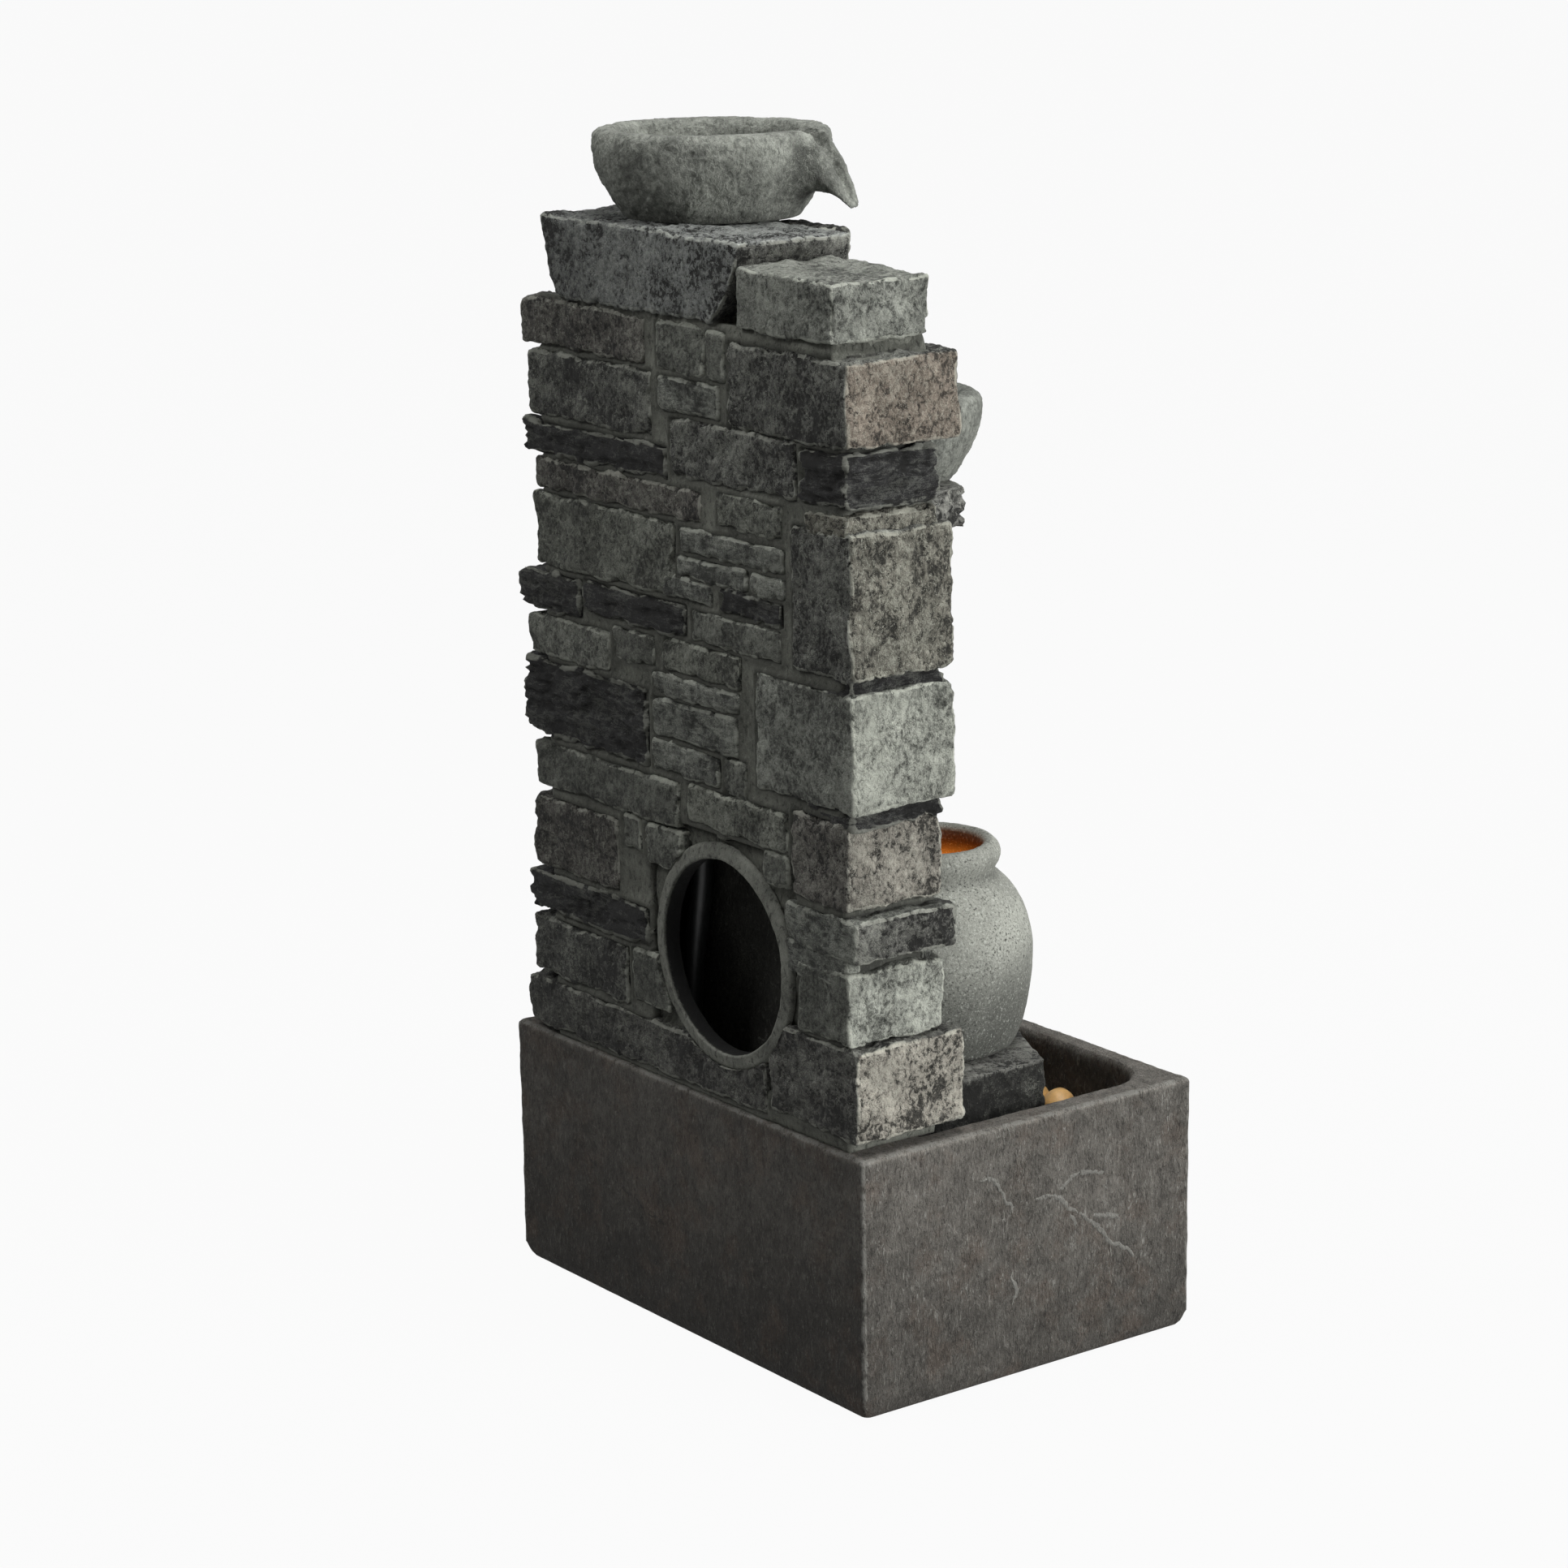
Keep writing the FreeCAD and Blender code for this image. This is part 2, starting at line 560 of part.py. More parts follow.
def plinth_shape():
    """A rough block that stands on the shelf and lifts the pot over the rim."""
    x, y, back = float(s.pot_x), float(pot_y), float(wall_front - s.plinth_setback)
    front = float(pool_front + s.plinth_apron)
    foot, top, wall = float(s.shelf_top), float(plinth_top), float(s.plinth_wall)
    reach = float(s.pot_foot)
    plan = [(x - reach - 28, back), (x - reach - 28, front + 39), (x - 55, front + 14), (x + 15, front),
            (x + reach + 12, front + 12), (x + reach + 20, back)]
    loop = [Vector(px, py, foot - 1) for px, py in plan]
    inner = Part.makePolygon(loop + loop[:1]).makeOffset2D(-wall, 2)
    void = Part.Face(inner).extrude(Vector(0, 0, top - foot - wall + 1))
    way = Part.makeCylinder(float(s.pot_hole), 3 * wall,
                            Vector(x + float(s.pot_hole_offset), y, top - 2 * wall))
    return prism(plan, foot, top).cut([void, way])


def pot_shape():
    """A turned jar: swelling body, narrow neck, rolled lip."""
    tall, wall = float(s.pot_height), float(s.pot_wall)
    foot, belly, neck = float(s.pot_foot), float(s.pot_belly), float(s.pot_neck)
    lip, mouth = float(s.pot_lip), float(s.pot_mouth)
    outside = Part.BSplineCurve()
    outside.interpolate([Vector(foot, 0, 0), Vector(0.5 * (foot + belly) + 2, 0, 0.24 * tall),
                         Vector(belly, 0, 0.55 * tall), Vector(0.5 * (belly + neck) + 5, 0, 0.76 * tall),
                         Vector(neck, 0, 0.87 * tall)])
    inside = Part.BSplineCurve()
    inside.interpolate([Vector(mouth, 0, 0.9 * tall), Vector(0.5 * (belly + neck) - wall + 4, 0, 0.75 * tall),
                        Vector(belly - wall, 0, 0.53 * tall),
                        Vector(0.5 * (foot + belly) - wall, 0, 0.24 * tall), Vector(foot - wall - 6, 0, wall)])
    roll = Part.Arc(Vector(neck, 0, 0.87 * tall), Vector(lip, 0, 0.93 * tall), Vector(neck, 0, 0.985 * tall))
    crown = Part.Arc(Vector(neck, 0, 0.985 * tall), Vector(0.5 * (neck + mouth), 0, tall),
                     Vector(mouth, 0, 0.97 * tall))
    edges = [outside.toShape(), roll.toShape(), crown.toShape(),
             Part.LineSegment(Vector(mouth, 0, 0.97 * tall), Vector(mouth, 0, 0.9 * tall)).toShape(),
             inside.toShape(),
             Part.LineSegment(Vector(foot - wall - 6, 0, wall), Vector(0, 0, wall)).toShape(),
             Part.LineSegment(Vector(0, 0, wall), Vector(0, 0, 0)).toShape(),
             Part.LineSegment(Vector(0, 0, 0), Vector(foot, 0, 0)).toShape()]
    shape = Part.Face(Part.Wire(edges)).revolve(Vector(), Vector(0, 0, 1), 360)
    way = Part.makeCylinder(float(s.pot_hole), 3 * wall, Vector(float(s.pot_hole_offset), 0, -wall))
    shape = shape.cut(way)
    shape.translate(Vector(float(s.pot_x), float(pot_y), float(plinth_top)))
    return shape


feature("pot_plinth", plinth_shape())
feature("pot", pot_shape())


# River pebbles on the shelf: x and y, half length, half width, half height and turn of each.

PEBBLES = [
    (-164, -96, 13, 10, 9, 20), (-139, -108, 14, 11, 10, -15), (-114, -101, 12, 10, 11, 35),
    (-92, -117, 15, 9.5, 12, 5), (-62, -112, 13, 11, 9, 60), (-36, -115, 12, 9, 9, -20),
    (-10, -112, 13, 11, 10, 15), (17, -115, 13, 10, 9, -10), (44, -112, 12, 11, 10, 40),
    (70, -115, 13, 9.5, 9, 0), (97, -112, 13, 11, 10, -35), (124, -113, 12, 11, 9, 10),
    (30, -88, 14, 10, 9, 25), (60, -88, 13, 10, 10, -25), (88, -86, 12, 11, 9, 5),
    (116, -87, 14, 10, 10, 30), (145, -88, 12, 11, 9, -5), (160, -110, 11, 9, 8, 0),
    (47, -60, 13, 11, 9, -15), (77, -60, 14, 10, 10, 20), (107, -60, 12, 11, 9, 50),
    (136, -61, 13, 10, 10, 0), (164, -62, 11, 12, 9, 15), (60, -30, 13, 10, 9, 35),
    (92, -32, 13, 11, 10, -30), (122, -32, 12, 11, 9, 10), (152, -33, 13, 10, 9, -10),
    (74, -2, 13, 10, 9, 0), (104, -3, 12, 11, 9, 25), (134, -4, 13, 10, 9, -20),
    (163, -6, 12, 10, 9, 15), (86, 26, 12, 10, 9, 10), (117, 26, 13, 11, 10, -35),
    (148, 25, 13, 10, 9, 30),
]


def pebble(x, y, long, wide, high, turn):
    """A water-worn stone: a ball stretched three ways, resting on the shelf."""
    stretch = FreeCAD.Matrix()
    stretch.scale(long, wide, high)
    stone = Part.makeSphere(1).transformGeometry(stretch)
    shelf_x = x * float(pool_side) / DRAWN_POOL
    shelf_y = float(pool_front) + (y - DRAWN_FRONT)
    stone.Placement = Placement(Vector(shelf_x, shelf_y, float(s.shelf_top) + high),
                                Rotation(Vector(0, 0, 1), turn))
    return stone


DRAWN_POOL, DRAWN_FRONT = 188.0, -128.0
feature("river_pebbles", Part.Compound([pebble(*row) for row in PEBBLES]))

# Pump: a potted magnet pump standing on suction cups on the sump floor, its front towards -X.

axis_z = s.sump_floor + s.cup_height + s.pump_side / 2
front_x = s.pump_x + s.volute_length / 2
rear_x = front_x + s.pump_length
half_side = s.pump_side / 2
inner_side = s.pump_side - 2 * s.pump_wall
well_end = front_x + s.well_length
centre = (pump_y, axis_z)

shell = box("pump_block", (front_x, pump_y - half_side, axis_z - half_side),
            (s.pump_length, s.pump_side, s.pump_side))
cavity = box("pump_cavity", (front_x + s.pump_wall, pump_y - inner_side / 2, axis_z - inner_side / 2),
             (s.pump_length, inner_side, inner_side))
well_tube = rod("well_tube", (front_x, *centre), s.well_radius + s.well_wall,
                s.well_length + s.well_wall, "X")
well_bore = rod("well_bore", (front_x - 1, *centre), s.well_radius, s.well_length + 1, "X")
front_cup_x = front_x + s.cover_overlap + 8
stem_places = [(front_cup_x, -1), (front_cup_x, 1), (rear_x - 8, -1), (rear_x - 8, 1)]
stem_y = half_side - s.pump_wall - s.cup_stem - 3
sockets = [rod(f"cup_socket_{i}", (x, pump_y + j * stem_y, s.sump_floor + s.cup_height - 1),
               s.cup_stem, s.pump_wall + 0.5, "Z") for i, (x, j) in enumerate(stem_places)]
hollow = cut("pump_hollow", shell, cavity)
walled = join("pump_walled", [hollow, well_tube])
keep(cut("pump_housing_cut", walled, join("pump_openings", [well_bore] + sockets)), "pump_housing")

cups = []
for i, (x, j) in enumerate(stem_places):
    foot_at = (x, pump_y + j * stem_y, s.sump_floor)
    skirt = cone(f"cup_skirt_{i}", foot_at, s.cup_radius, s.cup_stem + 1, s.cup_height)
    stem = rod(f"cup_stem_{i}", foot_at, s.cup_stem, s.cup_height + s.pump_wall - 0.5)
    cups.append(join(f"cup_{i}", [skirt, stem]))
keep(group("suction_cup_set", cups), "suction_cups")

# Stator: two pole arms beside the well, a yoke behind it and the coil around the yoke.
arm_offset = s.well_radius + s.well_wall + 0.2
arm_start = front_x + s.pump_wall + 2
yoke_x = well_end + s.well_wall + s.coil_build + 1
arms = [box(f"pole_arm_{i}", (arm_start, pump_y - s.core_width / 2, base),
            (yoke_x + s.yoke_thickness - arm_start, s.core_width, s.core_thickness))
        for i, base in enumerate((axis_z + arm_offset, axis_z - arm_offset - s.core_thickness))]
yoke = box("yoke", (yoke_x, pump_y - s.core_width / 2, axis_z - arm_offset - s.core_thickness),
           (s.yoke_thickness, s.core_width, 2 * (arm_offset + s.core_thickness)))
keep(join("core_stack", arms + [yoke]), "lamination_core")
coil_height = 2 * arm_offset - 2
coil_block = box("coil_block", (yoke_x - s.coil_build, pump_y - s.core_width / 2 - s.coil_build,
                                axis_z - coil_height / 2),
                 (s.yoke_thickness + 2 * s.coil_build, s.core_width + 2 * s.coil_build, coil_height))
coil_way = box("coil_way", (yoke_x, pump_y - s.core_width / 2, axis_z - coil_height / 2 - 1),
               (s.yoke_thickness, s.core_width, coil_height + 2))
keep(cut("coil_ring", coil_block, coil_way), "stator_coil")
potting_fill = box("potting_fill", (front_x + s.pump_wall, pump_y - inner_side / 2,
                                    axis_z - inner_side / 2),
                   (s.pump_length - s.pump_wall, inner_side, inner_side))
potting_voids = join("potting_voids", [
    rod("well_tube_2", (front_x, *centre), s.well_radius + s.well_wall, s.well_length + s.well_wall, "X"),
    box("coil_block_2", (yoke_x - s.coil_build, pump_y - s.core_width / 2 - s.coil_build,
                         axis_z - coil_height / 2),
        (s.yoke_thickness + 2 * s.coil_build, s.core_width + 2 * s.coil_build, coil_height)),
    box("arm_2", (arm_start, pump_y - s.core_width / 2, axis_z + arm_offset),
        (yoke_x + s.yoke_thickness - arm_start, s.core_width, s.core_thickness)),
    box("arm_3", (arm_start, pump_y - s.core_width / 2, axis_z - arm_offset - s.core_thickness),
        (yoke_x + s.yoke_thickness - arm_start, s.core_width, s.core_thickness)),
    box("yoke_2", (yoke_x, pump_y - s.core_width / 2, axis_z - arm_offset - s.core_thickness),
        (s.yoke_thickness, s.core_width, 2 * (arm_offset + s.core_thickness)))])
keep(cut("potting_cut", potting_fill, potting_voids), "potting_block")
keep(ring("pump_gland", (rear_x, pump_y, axis_z + 8), s.gland_radius, s.cord_bore, s.gland_length, "X"),
     "pump_cable_gland")

# Rotor: magnet and impeller turn together on a fixed ceramic shaft between two rubber bushes.
volute_front = front_x - s.volute_length
rear_bush_x = well_end - s.bush_length
magnet_x = rear_bush_x - 0.5 - s.magnet_length
keep(ring("magnet_ring", (magnet_x, *centre), s.magnet_radius, s.shaft_radius + s.spin_gap,
          s.magnet_length, "X"), "rotor_magnet")
keep(rod("shaft_rod", (volute_front, *centre), s.shaft_radius, well_end - volute_front, "X"), "impeller_shaft")
keep(group("bush_pair", [
    ring("rear_bush", (rear_bush_x, *centre), s.well_radius, s.shaft_radius, s.bush_length, "X"),
    ring("front_bush", (volute_front, *centre), s.front_bush, s.shaft_radius, s.bush_length, "X")]),
    "shaft_bushes")

hub_x = volute_front + s.bush_length + 0.5
impeller = body("impeller_body")
hub = sketch_on(impeller, "hub_outline", "YZ_Plane", hub_x, centre)
draw_circle(hub, 0, 0, s.front_bush + 1)
draw_circle(hub, 0, 0, s.shaft_radius + s.spin_gap)
pad(impeller, hub, magnet_x - hub_x, "hub_pad")
vane = sketch_on(impeller, "vane_outline", "YZ_Plane", hub_x, centre)
draw_rectangle(vane, -s.vane_thickness / 2, s.front_bush, s.vane_thickness / 2, s.impeller_radius)
vane_pad = pad(impeller, vane, front_x - 1 - hub_x, "vane_pad")
doc.recompute()
vanes = impeller.newObject("PartDesign::PolarPattern", "vanes")
vanes.Originals = [vane_pad]
vanes.Axis = (vane, ["N_Axis"])
vanes.Angle = 360
put(vanes, "Occurrences", s.vane_count)
impeller.Tip = vanes

# Volute: chamber round the impeller, a spider that holds the front bush, and the outlet nozzle.
chamber = rod("chamber", (volute_front, *centre), s.volute_radius, s.volute_length, "X")
nozzle = rod("nozzle", (s.pump_x, pump_y, axis_z), s.nozzle_radius, s.volute_radius + s.nozzle_length)
chamber_bore = rod("chamber_bore", (volute_front + s.volute_wall, *centre), s.volute_radius - s.volute_wall,
                   s.volute_length, "X")
nozzle_bore = rod("nozzle_bore", (s.pump_x, pump_y, axis_z), s.nozzle_bore,
                  s.volute_radius + s.nozzle_length + 1)
intake = rod("intake", (volute_front - 1, *centre), s.intake_radius, s.volute_wall + 2, "X")
volute_open = cut("volute_open", join("volute_block", [chamber, nozzle]),
                  join("volute_voids", [chamber_bore, nozzle_bore, intake]))
spider = join("spider", [
    rod("spider_boss", (volute_front, *centre), s.front_bush + 1.5, s.bush_length, "X"),
    box("spider_arm_a", (volute_front, pump_y - s.intake_radius - 1, axis_z - 1),
        (s.volute_wall, 2 * s.intake_radius + 2, 2)),
    box("spider_arm_b", (volute_front, pump_y - 1, axis_z - s.intake_radius - 1),
        (s.volute_wall, 2, 2 * s.intake_radius + 2))])
keep(cut("volute_cut", join("volute_whole", [volute_open, spider]),
         rod("front_bush_way", (volute_front - 1, *centre), s.front_bush, s.bush_length + 2, "X")),
     "volute_cover")

# Intake cover: a slotted cup that slides off forwards, with four ports that the flow dial opens.
cover_side = s.pump_side + 2 * (s.cover_gap + s.cover_wall)
cover_front = volute_front - s.cover_reach
cover_length = front_x + s.cover_overlap - cover_front
cover = body("cover_body")
cover_base = sketch_on(cover, "cover_outline", "YZ_Plane", cover_front)
draw_rectangle(cover_base, pump_y - cover_side / 2, axis_z - cover_side / 2,
               pump_y + cover_side / 2, axis_z + cover_side / 2)
pad(cover, cover_base, cover_length, "cover_block")
cover_inside = sketch_on(cover, "cover_inside", "YZ_Plane", cover_front + s.cover_wall)
draw_rectangle(cover_inside, pump_y - cover_side / 2 + s.cover_wall, axis_z - cover_side / 2 + s.cover_wall,
               pump_y + cover_side / 2 - s.cover_wall, axis_z + cover_side / 2 - s.cover_wall)
pocket(cover, cover_inside, cover_length, "cover_hollow", True)
ports = sketch_on(cover, "cover_ports", "YZ_Plane", cover_front)
draw_circle(ports, pump_y, axis_z, s.dial_stem + s.stem_gap)
for j, k in ((1, 0), (0, 1), (-1, 0), (0, -1)):
    draw_circle(ports, pump_y + j * s.port_circle, axis_z + k * s.port_circle, s.port_radius)
pocket(cover, ports, s.cover_wall, "port_cut", True)
notch = sketch_on(cover, "nozzle_notch", "XY_Plane", axis_z)
draw_rectangle(notch, s.pump_x - s.nozzle_radius - s.cover_gap, pump_y - s.nozzle_radius - s.cover_gap,
               cover_front + cover_length + 1, pump_y + s.nozzle_radius + s.cover_gap)
pocket(cover, notch, s.pump_side, "notch_cut", True)
slots = sketch_on(cover, "intake_slots", "XZ_Plane", -(pump_y + cover_side))
first_slot = cover_front + s.slot_pitch
draw_rectangle(slots, first_slot, axis_z - s.pump_side / 3, first_slot + s.slot_width,
               axis_z + s.pump_side / 3)
slot_cut = pocket(cover, slots, 2 * cover_side, "slot_cut", True)
slot_row = cover.newObject("PartDesign::LinearPattern", "slot_row")
slot_row.Originals = [slot_cut]
slot_row.Direction = (slots, ["H_Axis"])
put(slot_row, "Length", (s.slot_count - 1) * s.slot_pitch)
put(slot_row, "Occurrences", s.slot_count)
cover.Tip = slot_row

# Flow dial: a ported disc outside the cover on a stem with a snap collar inside it.
dial_x = cover_front - s.dial_gap - s.dial_thickness
dial = join("dial_solid", [
    rod("dial_disc", (dial_x, *centre), s.dial_radius, s.dial_thickness, "X"),
    rod("dial_stem", (dial_x, *centre), s.dial_stem, s.dial_thickness + 2 * s.dial_gap + s.cover_wall + 2, "X"),
    rod("dial_collar", (cover_front + s.cover_wall + s.dial_gap, *centre), s.dial_stem + 0.9, 1.6, "X"),
    box("dial_grip", (dial_x - 4, pump_y - 1.5, axis_z - s.dial_radius + 7),
        (4.5, 3, 2 * s.dial_radius - 14))])
dial_ports = [rod(f"dial_port_{i}", (dial_x - 1, pump_y + j * s.port_circle, axis_z + k * s.port_circle),
                  s.port_radius, s.dial_thickness + 2, "X")
              for i, (j, k) in enumerate(((1, 0), (0, 1), (-1, 0), (0, -1)))]

# Riser hose: one soft tube from the pump's nozzle to the inlet under the top bowl.
# It bows gently as the photograph shows it through the service hole.

hose_foot = axis_z + s.volute_radius + 6
inlet_x = s.top_bowl_x
hose_head = cap_top - s.nut_height - 2
HOSE = [
    (float(s.pump_x), float(pump_y), float(hose_foot)),
    (float(s.pump_x), float(pump_y), float(hose_foot) + 84),
    (49, float(wall_front) + 29, 236), (30, float(wall_front) + 27, 338), (34, float(wall_front) + 29, 500),
    (float(inlet_x), float(inlet_y), float(hose_head) - 110),
    (float(inlet_x), float(inlet_y), float(hose_head)),
]
RUN_SHARE = 0.45


def hose_path(points):
    """Straight runs joined by tangent arcs, each as large as its two runs allow."""
    spots = [Vector(*point) for point in points]
    edges = []
    start = spots[0]
    length = 0.0
    radii = []
    for before, corner, after in zip(spots, spots[1:], spots[2:]):
        a, b = (before - corner), (after - corner)
        set_back = RUN_SHARE * min(a.Length, b.Length)
        a.normalize()
        b.normalize()
        turn = math.pi - a.getAngle(b)
        radius = set_back / math.tan(turn / 2)
        first, last = corner + a * set_back, corner + b * set_back
        centre_way = (a + b).normalize()
        middle = corner + centre_way * (radius / math.cos(turn / 2) - radius)
        edges.append(Part.LineSegment(start, first).toShape())
        edges.append(Part.Arc(first, middle, last).toShape())
        length += (first - start).Length + radius * turn
        radii.append(round(radius))
        start = last
    edges.append(Part.LineSegment(start, spots[-1]).toShape())
    length += (spots[-1] - start).Length
    return Part.Wire(edges), length, radii


def tube(wire, start, heading, radius):
    """A round bar along a path."""
    hoop = Part.Wire(Part.makeCircle(radius, start, heading))
    return wire.makePipeShell([hoop], True, False)


def hose_shape():
    wire, length, radii = hose_path(HOSE)
    start = Vector(*HOSE[0])
    outer = tube(wire, start, Vector(0, 0, 1), float(s.hose_radius))
    inner = tube(wire, start, Vector(0, 0, 1), float(s.hose_bore))
    shape = outer.cut(inner)
    section_area = math.pi * (float(s.hose_radius) ** 2 - float(s.hose_bore) ** 2)
    print("hose length", round(length, 1), "radii", radii, "volume share",
          round(shape.Volume / (section_area * length), 4))
    return shape


feature("riser_hose", hose_shape())

clamps = []
for i, (x, y, z) in enumerate(((s.pump_x, pump_y, hose_foot + 3),
                               (inlet_x, inlet_y, hose_head - s.clamp_width - 3))):
    band = ring(f"clamp_band_{i}", (x, y, z), s.hose_radius + s.clamp_wall, s.hose_radius, s.clamp_width)
    ear = box(f"clamp_ear_{i}", (x + s.hose_radius + 0.6, y - 2, z), (4.5, 4, s.clamp_width))
    clamps.append(join(f"clamp_{i}", [band, ear]))
keep(group("clamp_pair", clamps), "hose_clamps")


def clip_shape():
    """Open saddles on the tower's inside that hold the hose, one on each long run."""
    solids = []
    gap = float(s.clip_gap)
    inner = float(s.hose_radius) + gap
    outer = inner + float(s.clip_wall)
    face = float(wall_front + s.wall_skin)
    tall = float(s.clip_height)
    for a, b in ((HOSE[3], HOSE[4]), (HOSE[4], HOSE[5])):
        start, end = Vector(*a), Vector(*b)
        way = (end - start).normalize()
        mid = (start + end) * 0.5 - way * (tall / 2)
        band = Part.makeCylinder(outer, tall, mid, way).cut(Part.makeCylinder(inner, tall, mid, way))
        arm = slab(mid.x - 4, mid.x + 4, face, mid.y - inner + 1, mid.z, mid.z + tall)
        arm = arm.cut(Part.makeCylinder(inner, 3 * tall, mid - way * tall, way))
        solids.append(band.fuse(arm).removeSplitter())
    return Part.Compound(solids)


feature("hose_clips", clip_shape())

# Bowl inlet: flanged barb through the bowl's floor, sealed by a gasket and held by a nut from below.
floor_z = cap_top + s.bowl_floor
gasket_at = (inlet_x, inlet_y, floor_z)
keep(ring("gasket_ring", gasket_at, s.inlet_flange, s.inlet_stem, s.gasket_thickness), "inlet_gasket")
barb_foot = cap_top - s.nut_height - s.barb_length
inlet_solid = join("inlet_solid", [
    rod("inlet_flange", (inlet_x, inlet_y, floor_z + s.gasket_thickness), s.inlet_flange,
        s.flange_thickness),
    rod("inlet_stem", (inlet_x, inlet_y, cap_top - s.nut_height), s.inlet_stem,
        s.nut_height + s.bowl_floor + s.gasket_thickness + 1),
    rod("inlet_barb", (inlet_x, inlet_y, barb_foot), s.hose_bore, s.barb_length + 1)])
keep(cut("inlet_cut", inlet_solid,
         rod("inlet_way", (inlet_x, inlet_y, barb_foot - 1), s.inlet_bore,
             floor_z - barb_foot + s.gasket_thickness + s.flange_thickness + 2)), "bowl_inlet")
nut = doc.addObject("Part::Prism", "nut_block")
nut.Polygon = 6
put(nut, "Circumradius", s.nut_radius)
put(nut, "Height", s.nut_height)
place(nut, (inlet_x, inlet_y, cap_top - s.nut_height))
keep(cut("nut_cut", nut, rod("nut_way", (inlet_x, inlet_y, cap_top - s.nut_height - 1), s.inlet_stem,
                             s.nut_height + 2)), "inlet_nut")

# Light in the pot: a sealed low-voltage puck on the pot's floor.
lamp_z = plinth_top + s.pot_wall
lamp = body("lamp_body")
lamp_outline = sketch_on(lamp, "lamp_outline", "XY_Plane", lamp_z)
draw_circle(lamp_outline, s.pot_x, pot_y, s.lamp_radius)
pad(lamp, lamp_outline, s.lamp_height, "lamp_block")
lamp_top = lamp_z + s.lamp_height
seat_z = lamp_z + 2 * s.lamp_wall
seat_sketch = sketch_on(lamp, "seat_outline", "XY_Plane", lamp_top)
draw_circle(seat_sketch, s.pot_x, pot_y, s.lamp_radius - s.lamp_wall)
pocket(lamp, seat_sketch, lamp_top - seat_z, "seat_cut")
well_sketch = sketch_on(lamp, "lamp_well_outline", "XY_Plane", seat_z)
draw_circle(well_sketch, s.pot_x, pot_y, s.lamp_radius - 2.5 * s.lamp_wall)
lamp_well = pocket(lamp, well_sketch, s.lamp_wall, "lamp_well")
lamp.Tip = lamp_well
keep(rod("board_disc", (s.pot_x, pot_y, seat_z), s.lamp_radius - s.lamp_wall, s.board_thickness),
     "lamp_board")
board_top = seat_z + s.board_thickness
diodes = []
for i, (j, k) in enumerate(((1, 0), (0, 1), (-1, 0), (0, -1))):
    diodes.append(box(f"diode_{i}", (s.pot_x + j * s.diode_circle - s.diode_side / 2,
                                     pot_y + k * s.diode_circle - s.diode_side / 2, board_top),
                      (s.diode_side, s.diode_side, s.diode_height)))
keep(group("diode_set", diodes), "lamp_diodes")
lens_radius = s.lamp_radius - s.lamp_wall
keep(cut("lens_cut", rod("lens_block", (s.pot_x, pot_y, board_top), lens_radius, lamp_top - board_top),
         rod("lens_hollow", (s.pot_x, pot_y, board_top - 1), lens_radius - s.lamp_wall,
             lamp_top - board_top + 1 - s.lens_thickness)), "lamp_lens")
keep(ring("bezel_ring", (s.pot_x, pot_y, lamp_top), s.lamp_radius, s.lamp_radius - 2.2 * s.lamp_wall,
          s.bezel_thickness), "lamp_bezel")
keep(ring("lamp_gland_ring", (s.pot_x + s.lamp_radius - 0.4, pot_y, lamp_z + s.lamp_gland + 0.6),
          s.lamp_gland, s.cord_bore, s.lamp_gland_length, "X"), "lamp_gland_raw")
nodes.pop()
gland_raw = doc.getObject("lamp_gland_ring")
keep(cut("lamp_gland_cut", gland_raw,
         rod("lamp_side", (s.pot_x, pot_y, lamp_z), s.lamp_radius, s.lamp_height)), "lamp_cable_gland")
grommet_at = (s.pot_x + s.pot_hole_offset, pot_y, plinth_top)
keep(ring("grommet_ring", grommet_at, s.pot_hole, s.cord_bore, s.pot_wall), "pot_grommet")

doc.recompute()
keep(impeller, "impeller")
keep(cover, "pump_cover")
keep(cut("dial_cut", dial, join("dial_port_set", dial_ports)), "flow_dial")
keep(lamp, "lamp_housing")

doc.recompute()
for thing in doc.Objects:
    bad = [word for word in thing.State if word in ("Invalid", "Error")]
    if bad:
        raise RuntimeError(f"{thing.Name} is {bad}")
for thing in nodes:
    shape = thing.Shape
    if shape.isNull() or not shape.isValid() or not shape.Solids:
        raise RuntimeError(f"{thing.Label} has no valid solid")
for thing in nodes:
    thing.Shape.exportStep(f"parts/{thing.Label}.step")
print(len(nodes), "nodes written")
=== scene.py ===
import math

import bpy
import numpy as np
from mathutils import Matrix, Vector


